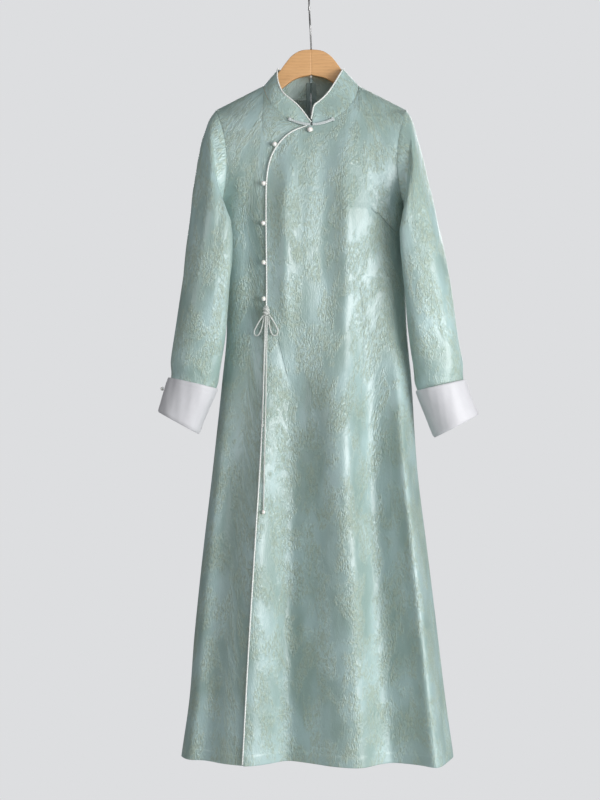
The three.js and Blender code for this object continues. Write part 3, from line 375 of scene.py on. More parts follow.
def front_at(x, drop, out=0.0):
    x, drop, out = np.broadcast_arrays(np.asarray(x, float), np.asarray(drop, float), out)
    return np.stack([x, -depth_at("front", x, drop) - SEAM_GAP / 2 - out, -drop], -1)


def back_at(x, drop):
    point = front_at(x, drop)
    point[..., 1] = depth_at("back", x, drop) + SEAM_GAP / 2
    return point


def beside_placket(drop, distance, out=0.0):
    """A point on the front at a distance square to the lapping edge."""
    drop = np.asarray(drop, float)
    step = 2
    ahead = placket_x(drop + step) - placket_x(drop - step)
    length = np.hypot(ahead, 2 * step)
    return front_at(placket_x(drop) - 2 * step / length * distance, drop + ahead / length * distance, out)


# Curves and tubes
def smooth_line(points, count):
    """A centripetal curve through the points, resampled to equal steps."""
    points = np.array(points, float)
    ends = np.vstack([2 * points[0] - points[1], points, 2 * points[-1] - points[-2]])
    t = np.linspace(0, 1, 24, endpoint=False)[:, None]
    parts = []
    for p0, p1, p2, p3 in zip(ends, ends[1:], ends[2:], ends[3:]):
        d0, d1, d2 = (max(1e-6, math.sqrt(np.linalg.norm(b - a))) for a, b in ((p0, p1), (p1, p2), (p2, p3)))
        m1 = ((p1 - p0) / d0 - (p2 - p0) / (d0 + d1) + (p2 - p1) / d1) * d1
        m2 = ((p2 - p1) / d1 - (p3 - p1) / (d1 + d2) + (p3 - p2) / d2) * d1
        parts.append(hermite(t, p1, m1, p2, m2))
    fine = np.vstack(parts + [points[-1:]])
    run = run_along(fine)
    return at_run(fine, run, np.linspace(0, run[-1], count))


def frames(line):
    along = unit(np.gradient(line, axis=0))
    side = np.empty_like(line)
    first = np.cross(along[0], (0.0, -1.0, 0.0))
    if np.linalg.norm(first) < 0.1:
        first = np.cross(along[0], (1.0, 0.0, 0.0))
    side[0] = unit(first)
    for k in range(1, len(line)):
        side[k] = unit(side[k - 1] - along[k] * np.dot(side[k - 1], along[k]))
    return along, side, np.cross(side, along)


def mesh_object(name, points, faces, uvs, smooth_angle):
    """A mesh in metres from points in millimetres; uvs are per point, in metres."""
    mesh = bpy.data.meshes.new(name)
    mesh.from_pydata((np.asarray(points) * MM).tolist(), [], faces)
    if uvs is not None:
        layer = mesh.uv_layers.new(name="cloth")
        index = np.empty(len(mesh.loops), dtype=np.int32)
        mesh.loops.foreach_get("vertex_index", index)
        layer.data.foreach_set("uv", np.asarray(uvs, np.float32)[index].ravel())
    mesh.polygons.foreach_set("use_smooth", [True] * len(mesh.polygons))
    mesh.update()
    mesh.set_sharp_from_angle(angle=math.radians(smooth_angle))
    piece = bpy.data.objects.new(name, mesh)
    scene.collection.objects.link(piece)
    return piece


def solid(name, points, faces, uvs, smooth_angle, weld=False):
    """A closed mesh with its faces turned out. Welding joins points that lie in one place."""
    piece = mesh_object(name, points, faces, uvs, smooth_angle)
    work = bmesh.new()
    work.from_mesh(piece.data)
    if weld:
        bmesh.ops.remove_doubles(work, verts=work.verts, dist=1e-6)
    bmesh.ops.recalc_face_normals(work, faces=work.faces)
    work.to_mesh(piece.data)
    work.free()
    return piece


def ring_faces(rings, sides, capped=True):
    """Faces from ring to ring. Caps close on the two points that follow the rings."""
    faces = []
    for j in range(rings - 1):
        for i in range(sides):
            a = j * sides + i
            b = j * sides + (i + 1) % sides
            faces.append((a, b, b + sides, a + sides))
    tip = rings * sides
    for i in range(sides if capped else 0):
        n = (i + 1) % sides
        faces.append((tip, n, i))
        faces.append((tip + 1, tip - sides + i, tip - sides + n))
    return faces


def tube(name, line, radius, sides=12, twist=0.0):
    """A closed tube of round section; radius may change along it, and twist winds its uvs."""
    along, side, up = frames(line)
    radius = np.broadcast_to(radius, (len(line),))
    turn = round_angles(sides)
    ring = np.cos(turn)[None, :, None] * side[:, None, :] + np.sin(turn)[None, :, None] * up[:, None, :]
    rings = line[:, None, :] + ring * radius[:, None, None]
    tips = [line[0] - along[0] * radius[0] * 0.5, line[-1] + along[-1] * radius[-1] * 0.5]
    run = run_along(line)
    around = turn[None, :] * radius[:, None] + twist * run[:, None]
    uvs = np.stack([around, np.broadcast_to(run[:, None], around.shape)], -1).reshape(-1, 2) * MM
    uvs = np.vstack([uvs, [[0, 0], [0, run[-1] * MM]]])
    return solid(name, np.vstack([rings.reshape(-1, 3), *tips]), ring_faces(len(line), sides), uvs, 70)


RIM_BULGE = 0.3


def shell(name, grid, uvs, flip, thickness=CLOTH, closed=False, steer=None):
    """A wall of cloth from a grid of outer points, with a rounded rim."""
    rows, cols = grid.shape[:2]
    across = np.roll(grid, -1, 1) - np.roll(grid, 1, 1) if closed else np.gradient(grid, axis=1)
    out = unit(np.cross(across, np.gradient(grid, axis=0)))
    if flip:
        out = -out
    if steer is not None:
        out = unit(steer(out))
    top = [(0, i) for i in range(cols)]
    if closed:
        loops = [top, [(rows - 1, i) for i in range(cols - 1, -1, -1)]]
    else:
        end = [(j, cols - 1) for j in range(1, rows)]
        low = [(rows - 1, i) for i in range(cols - 2, -1, -1)]
        loops = [top + end + low + [(j, 0) for j in range(rows - 2, 0, -1)]]
    outer = grid.reshape(-1, 3)
    inner = (grid - out * thickness).reshape(-1, 3)
    flat_uv = uvs.reshape(-1, 2)
    points = [outer, inner]
    uv_parts = [flat_uv, flat_uv]
    total = 2 * rows * cols
    j, i = np.meshgrid(np.arange(rows - 1), np.arange(cols if closed else cols - 1), indexing="ij")
    a = (j * cols + i).ravel()
    b = (j * cols + (i + 1) % cols).ravel()
    faces = np.stack([a, b, b + cols, a + cols], -1).tolist()
    faces += (np.stack([a, a + cols, b + cols, b], -1) + rows * cols).tolist()
    for loop in loops:
        r, c = np.array(loop).T
        index = r * cols + c
        middle = (outer[index] + inner[index]) / 2
        towards = middle - grid[np.clip(r, 1, rows - 2), c if closed else np.clip(c, 1, cols - 2)]
        normal = out.reshape(-1, 3)[index]
        towards = unit(towards - normal * np.sum(towards * normal, -1, keepdims=True))
        points.append(middle + towards * thickness * RIM_BULGE)
        uv_parts.append(flat_uv[index])
        n = len(index)
        for k in range(n):
            m = (k + 1) % n
            faces.append((index[m], index[k], total + k, total + m))
            faces.append((total + m, total + k, index[k] + rows * cols, index[m] + rows * cols))
        total += n
    if flip:
        faces = [tuple(reversed(face)) for face in faces]
    return mesh_object(name, np.vstack(points), faces, np.vstack(uv_parts), 60)


def flat_uvs(grid, centre=None):
    """Lengths across and down the cloth, in metres, measured from a line of constant x where one is given."""
    across = np.cumsum(np.linalg.norm(np.diff(grid, axis=1), axis=2), axis=1)
    across = np.pad(across, ((0, 0), (1, 0)))
    down = np.cumsum(np.linalg.norm(np.diff(grid, axis=0), axis=2), axis=0)
    down = np.pad(down, ((1, 0), (0, 0)))
    if centre is not None:
        zero = np.array([np.interp(centre, row[:, 0], run) for row, run in zip(grid, across)])
        across = across - zero[:, None]
    else:
        down = np.broadcast_to(down.mean(1, keepdims=True), down.shape)
    return np.stack([across, down], -1) * MM


# Materials
class Finish:
    """A material, with short ways to add nodes to it. Constants go straight on the shader."""

    def __init__(self, name, constants):
        self.material = bpy.data.materials.new(name)
        self.material.use_nodes = True
        self.tree = self.material.node_tree
        self.shader = self.tree.nodes["Principled BSDF"]
        for key, value in constants.items():
            self.shader.inputs[key].default_value = value

    def put(self, kind, inputs=None, **settings):
        made = self.tree.nodes.new(kind)
        for key, value in settings.items():
            setattr(made, key, value)
        for key, value in (inputs or {}).items():
            if isinstance(value, bpy.types.NodeSocket):
                self.tree.links.new(value, made.inputs[key])
            else:
                made.inputs[key].default_value = value
        return made

    def cloth(self):
        return self.put("ShaderNodeUVMap", uv_map="cloth").outputs[0]

    def place(self):
        return self.put("ShaderNodeTexCoord").outputs["Object"]

    def sums(self, operation, a, b=0.0, c=0.0, clamp=False):
        return self.put("ShaderNodeMath", {0: a, 1: b, 2: c}, operation=operation, use_clamp=clamp).outputs[0]

    def times(self, a, b):
        return self.sums("MULTIPLY", a, b)

    def scaled(self, value, by, plus):
        return self.sums("MULTIPLY_ADD", value, by, plus)

    def vector(self, operation, a, b=(0, 0, 0)):
        inputs = {0: a, 1: b} if operation != "SCALE" else {0: a, "Scale": b}
        made = self.put("ShaderNodeVectorMath", inputs, operation=operation)
        return made.outputs["Value" if operation in ("LENGTH", "DOT_PRODUCT", "DISTANCE") else "Vector"]

    def clouds(self, where, scale, detail=2.0, roughness=0.5, distortion=0.0):
        inputs = {"Vector": where, "Scale": scale, "Detail": detail, "Roughness": roughness,
                  "Distortion": distortion}
        return self.put("ShaderNodeTexNoise", inputs).outputs["Fac"]

    def cells(self, where, scale, spread=1.0):
        return self.put("ShaderNodeTexVoronoi", {"Vector": where, "Scale": scale, "Randomness": spread},
                        voronoi_dimensions="2D").outputs

    def bands(self, where, scale, direction, distortion=0.0, detail=2.0, detail_scale=1.0):
        inputs = {"Vector": where, "Scale": scale, "Distortion": distortion, "Detail": detail,
                  "Detail Scale": detail_scale}
        return self.put("ShaderNodeTexWave", inputs, bands_direction=direction).outputs["Fac"]

    def stretch(self, where, x, y, z=1.0, turn=0.0):
        inputs = {"Vector": where, "Scale": (x, y, z), "Rotation": (0, 0, turn)}
        return self.put("ShaderNodeMapping", inputs).outputs[0]

    def ramp(self, value, low, high, to_low=0.0, to_high=1.0):
        return self.put("ShaderNodeMapRange", {"Value": value, 1: low, 2: high, 3: to_low, 4: to_high},
                        interpolation_type="SMOOTHSTEP").outputs[0]

    def blend(self, factor, a, b, blend_type="MIX"):
        return self.put("ShaderNodeMix", {0: factor, 6: a, 7: b}, data_type="RGBA",
                        blend_type=blend_type).outputs[2]

    def bump(self, height, distance, strength=1.0, normal=None):
        inputs = {"Height": height, "Distance": distance, "Strength": strength}
        if normal is not None:
            inputs["Normal"] = normal
        return self.put("ShaderNodeBump", inputs).outputs[0]

    def wear(self, colour, roughness=None, normal=None):
        for name, socket in (("Base Color", colour), ("Roughness", roughness), ("Normal", normal)):
            if socket is not None:
                self.tree.links.new(socket, self.shader.inputs[name])
        return self.material


def srgb(red, green, blue):
    def linear(value):
        value /= 255
        return value / 12.92 if value <= 0.04045 else ((value + 0.055) / 1.055) ** 2.4
    return (linear(red), linear(green), linear(blue), 1.0)


def darker(colour, share):
    return tuple(part * share for part in colour[:3]) + (1.0,)


GROUND = srgb(164, 189, 188)
GROUND_SHADE = srgb(142, 166, 160)
MOTIF = srgb(130, 149, 134)
MOTIF_LIGHT = srgb(172, 184, 166)
# The colour of the painted shade laid along the darts' grooves
GROOVE_PAINTED_SHADE = srgb(84, 104, 100)


def groove_distance(n, uv, points):
    """How far a place is from a line of points on the cloth."""
    away = None
    for start, end in zip(points, points[1:]):
        line = np.subtract(end, start)
        span = float(np.hypot(*line))
        way = (line[0] / span, line[1] / span, 0)
        offset = n.vector("SUBTRACT", uv, (*start, 0))
        along = n.sums("MINIMUM", n.sums("MAXIMUM", n.vector("DOT_PRODUCT", offset, way), 0.0), span)
        near = n.vector("SCALE", n.put("ShaderNodeCombineXYZ", {0: way[0], 1: way[1]}).outputs[0], along)
        distance = n.vector("DISTANCE", offset, near)
        away = distance if away is None else n.sums("MINIMUM", away, distance)
    return away


def jacquard(name, grooves=(), tone=1.0):
    """Satin jacquard: a smooth ground with crinkled patches of tonal flowers, leaves and stems. Grooves are
    darts, each a line of points on the cloth and a strength. The colour also carries painted shade: darker in
    the crinkles' valleys and along the darts' grooves, lighter on the crinkles' ridges, and tone scales all
    of it."""
    n = Finish(name, {"Specular IOR Level": 0.8, "Sheen Weight": 0.25, "Sheen Roughness": 0.4,
                      "Sheen Tint": srgb(214, 228, 226)})
    uv = n.cloth()
    # The cloth's own slow drift of tone
    drift = n.ramp(n.clouds(n.stretch(uv, 1, 0.55), 15, 2), 0.36, 0.64)
    # Where motifs gather, and a bend that keeps them from looking stamped
    gather = n.ramp(n.clouds(n.stretch(uv, 1, 0.6), 26, 3, 0.62, 0.5), 0.41, 0.56)
    wander = n.put("ShaderNodeTexNoise", {"Vector": uv, "Scale": 45.0, "Detail": 1.0}).outputs["Color"]
    bent = n.vector("ADD", uv, n.vector("SCALE", wander, 0.012))
    # Flowers of five petals
    spoke = n.vector("SUBTRACT", bent, n.cells(bent, 34.0, 0.8)["Position"])
    parts = n.put("ShaderNodeSeparateXYZ", {0: spoke}).outputs
    angle = n.sums("ARCTAN2", parts[1], parts[0])
    petal = n.scaled(n.sums("ABSOLUTE", n.sums("COSINE", n.times(angle, 2.5))), 0.0052, 0.0022)
    length = n.vector("LENGTH", spoke)
    flower = n.ramp(n.sums("SUBTRACT", petal, length), -0.0004, 0.0008)
    heart = n.ramp(length, 0.0014, 0.0022, 1.0, 0.0)
    drawn = n.sums("SUBTRACT", flower, n.times(heart, 0.8), clamp=True)
    # Leaves of two slants: narrowness, slant, scale and size
    for narrow, slant, scale, size in ((2.1, 0.7, 62.0, 0.2), (2.3, -0.8, 55.0, 0.18)):
        distance = n.cells(n.stretch(bent, narrow, 1, turn=slant), scale)["Distance"]
        drawn = n.sums("MAXIMUM", drawn, n.ramp(distance, size, size + 0.1, 1.0, 0.0))
    # Stems
    ridge = n.sums("ABSOLUTE", n.sums("SUBTRACT", n.clouds(n.stretch(uv, 1, 0.6), 38, 1), 0.5))
    drawn = n.sums("MAXIMUM", drawn, n.ramp(ridge, 0.008, 0.02, 1.0, 0.0))
    drawn = n.times(drawn, gather)
    # Crinkles along the warp, in patches
    patch = n.scaled(gather, 0.82, 0.18)
    crinkle = n.ramp(n.clouds(n.stretch(uv, 1, 0.34), 470, 1.5, 0.5, 0.5), 0.32, 0.68)
    coarse = n.clouds(n.stretch(uv, 1, 0.35), 120, 1, 0.5, 0.3)
    height = n.scaled(coarse, 0.4, n.times(crinkle, patch))
    weave = n.clouds(n.stretch(uv, 1, 0.5), 2400, 1)
    normal = n.bump(height, 0.0011, 0.85)
    normal = n.bump(drawn, 0.0004, 0.5, normal)
    normal = n.bump(weave, 0.00012, 0.5, normal)
    # Darts pull a groove with puckered cloth beside it, and the groove is painted darker, as painted shade
    painted_dart_shade = None
    for points, strength in grooves:
        away = groove_distance(n, uv, points)
        groove = n.ramp(away, 0.0003, 0.0013, strength, 0.0)
        pucker = n.ramp(away, 0.0, 0.009, strength, 0.0)
        normal = n.bump(n.times(groove, -1.0), 0.001, 1.0, normal)
        normal = n.bump(n.times(pucker, -1.0), 0.0016, 0.6, normal)
        painted_dart_shade = groove if painted_dart_shade is None else n.sums("MAXIMUM", painted_dart_shade, groove)
    ground = n.blend(drift, GROUND_SHADE, GROUND)
    ground = n.blend(n.times(gather, 0.14), ground, MOTIF_LIGHT)
    thread = n.blend(n.clouds(uv, 300, 2), MOTIF, MOTIF_LIGHT)
    colour = n.blend(n.times(drawn, 0.6), ground, thread)
    # Painted shade and highlight: the colour darkens in the crinkles' valleys and lightens on their ridges,
    # and tone scales it all, so a tone above one paints the cloth lighter
    painted_crinkle_shade = n.ramp(height, 0.2, 0.95, 0.9 * tone, 1.04 * tone)
    shade = n.put("ShaderNodeCombineColor", {0: painted_crinkle_shade, 1: painted_crinkle_shade, 2: painted_crinkle_shade}).outputs[0]
    colour = n.blend(1.0, colour, shade, "MULTIPLY")
    # Painted shade: the colour darkens toward the groove colour along the darts
    if painted_dart_shade is not None:
        colour = n.blend(n.times(painted_dart_shade, 0.45), colour, GROOVE_PAINTED_SHADE)
    return n.wear(colour, n.scaled(drawn, 0.16, 0.36), normal)


def satin(name, colour, fold=0.0012):
    """Plain satin with soft dents and a fine weave."""
    n = Finish(name, {"Sheen Weight": 0.3, "Sheen Roughness": 0.3})
    uv = n.cloth()
    dents = n.clouds(n.stretch(uv, 1, 0.6), 42, 2)
    fine = n.clouds(n.stretch(uv, 1, 0.3), 900, 2)
    normal = n.bump(fine, 0.00015, 0.5, n.bump(dents, fold, 0.8))
    worn = n.blend(n.clouds(uv, 70, 2), darker(colour, 0.93), colour)
    return n.wear(worn, n.scaled(fine, 0.12, 0.46), normal)


def cord_satin(name, colour, pitch):
    """A satin cord whose wrap runs round it at a slant, with painted shade: darker where the wrap's turns
    dip.
    """
    n = Finish(name, {"Sheen Weight": 0.2})
    wrap = n.bands(n.cloth(), pitch / 6, "DIAGONAL", 0.6, 1.0)
    # Painted shade: the colour darkens in the wrap's low turns
    shaded = n.blend(wrap, darker(colour, 0.8), colour)
    return n.wear(shaded, n.scaled(wrap, -0.1, 0.45), n.bump(wrap, 0.00025, 0.7))


def pearl_finish():
    n = Finish("pearl", {"Coat Weight": 0.6, "Coat Roughness": 0.08, "Subsurface Weight": 0.1,
                         "Subsurface Scale": 0.002})
    clouds = n.clouds(n.place(), 260, 2)
    # Painted lustre: the colour turns greyer and pinker toward the rim, where the surface faces away from
    # view
    edge = n.put("ShaderNodeLayerWeight", {"Blend": 0.35}).outputs["Facing"]
    warm = n.blend(clouds, srgb(238, 234, 226), srgb(247, 245, 240))
    colour = n.blend(n.times(edge, 0.5), warm, srgb(214, 204, 205))
    return n.wear(colour, n.scaled(clouds, 0.12, 0.14), n.bump(clouds, 0.00008, 0.4))


def wood_finish():
    """Grain along the board, with a slow change of tone and fine pores."""
    n = Finish("wood", {"Coat Weight": 0.25, "Coat Roughness": 0.3})
    where = n.place()
    grain = n.bands(n.stretch(where, 0.35, 1, 1), 55.0, "Z", 5.0, 3.0, 1.2)
    pores = n.ramp(n.clouds(n.stretch(where, 60, 900, 900), 1, 3), 0.56, 0.72)
    tone = n.clouds(n.stretch(where, 5, 60, 60), 1, 3)
    colour = n.blend(n.times(grain, 0.5), srgb(205, 157, 104), srgb(186, 134, 82))
    colour = n.blend(n.times(tone, 0.5), colour, srgb(216, 172, 122))
    colour = n.blend(n.times(pores, 0.35), colour, srgb(150, 102, 60))
    return n.wear(colour, n.scaled(grain, 0.1, 0.34), n.bump(pores, -0.0001, 0.4))


def metal_finish(name, colour, roughness):
    n = Finish(name, {"Metallic": 1.0})
    where = n.place()
    scratch = n.clouds(n.stretch(where, 900, 900, 90), 1, 2)
    worn = n.blend(n.clouds(where, 320, 2), darker(colour, 0.75), colour)
    return n.wear(worn, n.scaled(scratch, 0.2, roughness - 0.1), n.bump(scratch, 0.00004, 0.4))


def tape_finish():
    n = Finish("zip_tape", {})
    uv = n.cloth()
    ribs = n.bands(uv, 420.0, "Y")
    twill = n.bands(uv, 300.0, "DIAGONAL")
    colour = n.blend(n.times(twill, 0.5), srgb(150, 172, 172), srgb(122, 146, 148))
    return n.wear(colour, n.scaled(ribs, 0.1, 0.7), n.bump(ribs, 0.0002, 0.6))


PEARL = pearl_finish()
WOOD = wood_finish()
STEEL = metal_finish("steel", srgb(150, 150, 150), 0.3)
ENAMEL = metal_finish("zip_metal", srgb(140, 156, 156), 0.35)
TAPE = tape_finish()
CORD = cord_satin("cord", srgb(208, 212, 208), 1400.0)
PIPING = cord_satin("piping", srgb(232, 236, 232), 700.0)
FROG = cord_satin("frog", srgb(198, 206, 206), 900.0)
CUFF_SATIN = satin("cuff_satin", srgb(202, 202, 206))
TEETH = satin("zip_teeth", srgb(130, 152, 154), 0.0003)


def dress(piece, material, slot, *nodes):
    piece.data.materials.append(material)
    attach(piece, "garment")
    if nodes:
        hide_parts(*nodes)
    return piece


def join(name, pieces):
    """One object from several, with their meshes in place."""
    bpy.ops.object.select_all(action="DESELECT")
    for piece in pieces:
        piece.select_set(True)
    bpy.context.view_layer.objects.active = pieces[0]
    bpy.ops.object.join()
    pieces[0].name = name
    return pieces[0]


# A pearl's flattening, and the width and depth of its dimples, as shares of its radius
PEARL_FLAT = 0.94
DIMPLE_WIDE, DIMPLE_DEEP = 0.16, 0.14


def ball(name, centre, radius):
    """A pearl, a little flattened, with its drilled ends dimpled."""
    rings, sides = 17, 32
    down = np.linspace(0, math.pi, rings)[:, None]
    turn = round_angles(sides)
    wide = radius * np.sin(down)
    x = radius * PEARL_FLAT * np.cos(down)
    x = x - np.copysign(np.exp(-((wide / (radius * DIMPLE_WIDE)) ** 2)) * radius * DIMPLE_DEEP, x)
    points = np.stack(np.broadcast_arrays(x, wide * np.cos(turn), wide * np.sin(turn)), -1) + centre
    return solid(name, points.reshape(-1, 3), ring_faces(rings, sides, False), None, 80, weld=True)


# The bow's two hanging ends, which are free cords. They leave the knot further off the cloth than they hang,
# and a little apart.
KNOT_X = float(placket_x(KNOT_DROP)) - 1.5
TAIL_PEARL_R = 3.6
TAIL_OUT = (5, 3.9)
TAIL_PART = 1.4
LONG_SHARES = (0, 0.04, 0.12, 0.25, 0.4, 0.55, 0.7, 0.85, 1)
SHORT_SHARES = (0, 0.05, 0.15, 0.35, 0.6, 0.8, 1)
TWIST = 0.6


def tail_route(shares, start_x, end_x, end_drop, bow, settle):
    route = []
    for t in shares:
        out = float(lerp(*TAIL_OUT, smooth(0, settle, t)))
        route.append(front_at(lerp(start_x, end_x, t**bow), lerp(TAIL_TOP, end_drop, t), out))
    return route


def small_knot(name, centre, radius):
    """An overhand knot: a wound lump of three crossing turns."""
    t = np.linspace(0, 2 * math.pi, 70)
    wind = np.stack([np.sin(t) + 2 * np.sin(2 * t), -np.sin(3 * t), np.cos(t) - 2 * np.cos(2 * t)], -1)
    line = np.asarray(centre) + wind * np.array([0.34, 0.5, 0.36]) * radius
    return tube(name, line[:-1], radius * 0.42, 10)


long_end_x = float(placket_x(TAIL_LONG_END)) + 9.6
short_end_x = KNOT_X - 6.5
long_route = tail_route(LONG_SHARES, KNOT_X + TAIL_PART, long_end_x, TAIL_LONG_END, 1.2, 0.15)
short_route = tail_route(SHORT_SHARES, KNOT_X - TAIL_PART, short_end_x, TAIL_SHORT_END, 0.8, 0.25)
long_line = smooth_line(long_route, 120)
short_line = smooth_line(short_route, 80)
pearl_centre = long_route[-1] + np.array([0, -1.2, -TAIL_PEARL_R - SEAM_GAP])
tail_pearl = dress(ball("tail_pearl_fine", pearl_centre, TAIL_PEARL_R), PEARL, "pearl", "tail_pearl")
tail_long = dress(tube("tail_long_cord", long_line, CORD_R, twist=TWIST), CORD, "cord", "tail_long")
tail_short = dress(tube("tail_short_cord", short_line, CORD_R, twist=TWIST), CORD, "cord", "tail_short")
knot_end = short_route[-1] + np.array([0, 0, -2.6])
tail_knot = dress(small_knot("tail_short_knot_fine", knot_end, 2.2), CORD, "cord", "tail_short_knot")

# Rows shared by the four panels: close together at the armhole's ends, the hem's turning and the hem itself
ARM_ROWS = 44
SKIRT_ROWS = 210
HEM_MARKS = [17.2, 18.6, 20.0, 2.5, 5.0]
skirt_rows = [1 + k / SKIRT_ROWS for k in range(SKIRT_ROWS + 1)]
skirt_rows += [1 + (HEM_DROP - mark - UNDERARM_DROP) / (HEM_DROP - UNDERARM_DROP) for mark in HEM_MARKS]
ROWS = np.array([(1 - math.cos(k * math.pi / ARM_ROWS)) / 2 for k in range(ARM_ROWS)] + sorted(skirt_rows))


def steps(marks, counts, edges=(True, True)):
    """Even columns between marks, with a few close ones at each outer edge. Marks are arrays by row."""
    shares = [k + i / count for k, count in enumerate(counts) for i in range(count)] + [len(counts)]
    first, last = 1 / counts[0], 1 / counts[-1]
    if edges[0]:
        shares += [0.25 * first, 0.55 * first]
    if edges[1]:
        shares += [len(counts) - 0.25 * last, len(counts) - 0.55 * last]
    shares = np.array(sorted(shares))
    stretch = np.clip(shares.astype(int), 0, len(counts) - 1)
    marks = np.stack([np.broadcast_to(mark, ROWS.shape) for mark in marks], 0)
    return lerp(marks[stretch], marks[stretch + 1], (shares - stretch)[:, None]).T


# The turned-up hem stands a little prouder, where the cloth is double; cloth dips where it meets a seam
HEM_STEP = 0.9
HEM_TURN = (HEM_DROP - 19.8, HEM_DROP - 17.4)
SEAM_DIP, SEAM_DIP_WIDTH = 0.9, 5


def panel(node, material, face, s, side_column, darts=(), inset=None, shift=0):
    """One panel of the body, from its columns by row. The side column is the one at the side seam, and shift
    is the way that its edge at the zip moves."""
    row = ROWS[:, None] * np.ones_like(s)
    x, drop = place_of(face, s, row)
    level = np.maximum(0.35, np.abs(outward_at(face, x, drop)[..., 1]))
    inward = inset(x, drop) if inset is not None else np.zeros_like(x)
    depth = np.maximum(0, depth_at(face, x, drop) - inward / level)
    across = np.abs(across_at(x, drop))
    hem = HEM_STEP * smooth(*HEM_TURN, drop)
    depth = depth + ripple(face, x, drop) + hem * (1 - across**8)
    edge = np.abs(reach_at(s, drop) * (1 - across))
    dip = SEAM_DIP * np.exp(-((edge / SEAM_DIP_WIDTH) ** 2)) * (depth > 3)
    depth = np.maximum(0, depth - dip) + SEAM_GAP / 2
    z = -drop - np.where(row == 0, inward * 0.6, 0)
    x = x + shift * ZIP_SLOT * (1 - np.abs(s)) / 2
    grid = np.stack([x, -depth if face == "front" else depth, z], -1)
    uvs = flat_uvs(grid, CENTRE_X)

    def steer(out):
        out = out.copy()
        column = out[:, side_column]
        column[ROWS >= 1, 1] = 0
        turned = np.where(s[:, side_column] < 0, np.minimum(0, column[:, 0]), np.maximum(0, column[:, 0]))
        column[:, 0] = np.where(ROWS < 1, turned, column[:, 0])
        shoulder = np.abs(s[0]) > NECK_SHARE - 0.01
        out[0, shoulder, 1] = 0
        return out

    piece = shell(f"{node}_cloth", grid, uvs, face == "front", steer=steer)
    on_cloth = [([uv_at(grid, uvs, *point) for point in points], strength) for points, strength in darts]
    return dress(piece, jacquard(material, on_cloth), "jacquard", node)


def uv_at(grid, uvs, x, drop):
    """The cloth coordinates of a place on a panel, from its nearest point and the slopes there."""
    flat = grid[..., [0, 2]]
    inner = flat[1:-1, 1:-1]
    away = (inner[..., 0] - x) ** 2 + (inner[..., 1] + drop) ** 2
    j, i = np.add(np.unravel_index(np.argmin(away), away.shape), 1)
    slopes = np.stack([flat[j, i + 1] - flat[j, i - 1], flat[j + 1, i] - flat[j - 1, i]], 1)
    share = np.linalg.solve(slopes, np.array([x, -drop]) - flat[j, i])
    across, down = uvs[j, i + 1] - uvs[j, i - 1], uvs[j + 1, i] - uvs[j - 1, i]
    place = uvs[j, i] + share[0] * across + share[1] * down
    return float(place[0]), float(place[1])


def lap_inset(x, drop):
    deep = lerp(*LAP_INSET, smooth(*LAP_DEEPENS, drop))
    return deep * (1 - smooth(0, LAP_FADE, placket_x(drop) - x))


# Darts, as (x, drop) points and a strength
FRONT_DARTS = [([(113, 400), (124, 409), (140, 424), (157, 440)], 1.0), ([(92, 545), (94, 762)], 0.35),
               ([(-58, 634), (-40, 706)], 0.7)]
LEFT_DARTS = [([(-70, 470), (-70, 740)], 0.6)]
RIGHT_DARTS = [([(78, 470), (78, 740)], 0.6)]

front_s = steps([placket_s(ROWS), NECK_SHARE, 1.0], [62, 26])
side_s = steps([-1.0, -NECK_SHARE, placket_s(ROWS, LAP)], [16, 34], (True, False))
left_s = steps([-1.0, -NECK_SHARE, 0.0], [20, 32])
right_s = steps([0.0, NECK_SHARE, 1.0], [32, 20])
front = panel("front_panel", "jacquard_front", "front", front_s, -1, FRONT_DARTS)
front_side = panel("front_side_panel", "jacquard", "front", side_s, 0, inset=lap_inset)
back_left = panel("back_left", "jacquard_back_left", "back", left_s, 0, LEFT_DARTS, shift=-1)
back_right = panel("back_right", "jacquard_back_right", "back", right_s, -1, RIGHT_DARTS, shift=1)
# Painted light: the panels' jacquard, coloured lighter for the sleeves and the collar
painted_lighter_jacquard = jacquard("jacquard_painted_lighter", tone=1.14)


# Sleeves and cuffs
def ring_point(ring, sign, angle, grow, dip=0.0):
    """A point on a sleeve's or cuff's ring; the angle starts at its outer side."""
    half_x = (ring["outer"] - ring["inner"]) / 2
    half_z = (ring["innerDrop"] - ring["outerDrop"]) / 2
    longer = 1 + grow / np.hypot(half_x, half_z)
    deep = (ring["depth"] + grow) * np.sin(angle)
    x = (ring["outer"] + ring["inner"]) / 2 + half_x * longer * np.cos(angle) + ring["lean"] * deep - dip
    z = half_z * longer * np.cos(angle) - (ring["outerDrop"] + ring["innerDrop"]) / 2
    return np.stack(np.broadcast_arrays(CENTRE_X + sign * x, ring["y"] + deep, z), -1)


# Creases of the sleeves: the angle and row where one starts and ends, its width in radians and its depth
REAR_CREASES = [(1.2, 1.0, 1.5, 8.0, 0.25, -2.4), (2.3, 1.0, 2.0, 7.0, 0.25, 2.0)]
SLEEVE_CREASES = {
    "left": [(-1.9, 0.6, -1.5, 6.5, 0.2, -3.0), (-1.1, 0.8, -0.9, 8.0, 0.22, 2.2),
             (-2.5, 2.5, -2.2, 9.0, 0.24, 2.4), (-0.4, 2.0, -0.2, 7.0, 0.2, -1.8)] + REAR_CREASES,
    "right": [(-1.2, 0.6, -1.6, 6.5, 0.2, -2.8), (-2.0, 0.8, -2.3, 8.0, 0.22, 2.4),
              (-0.7, 1.5, -0.9, 9.0, 0.22, 2.2), (-2.7, 2.5, -2.8, 7.0, 0.2, -1.8)] + REAR_CREASES,
}
SLEEVE_SIDES = 88


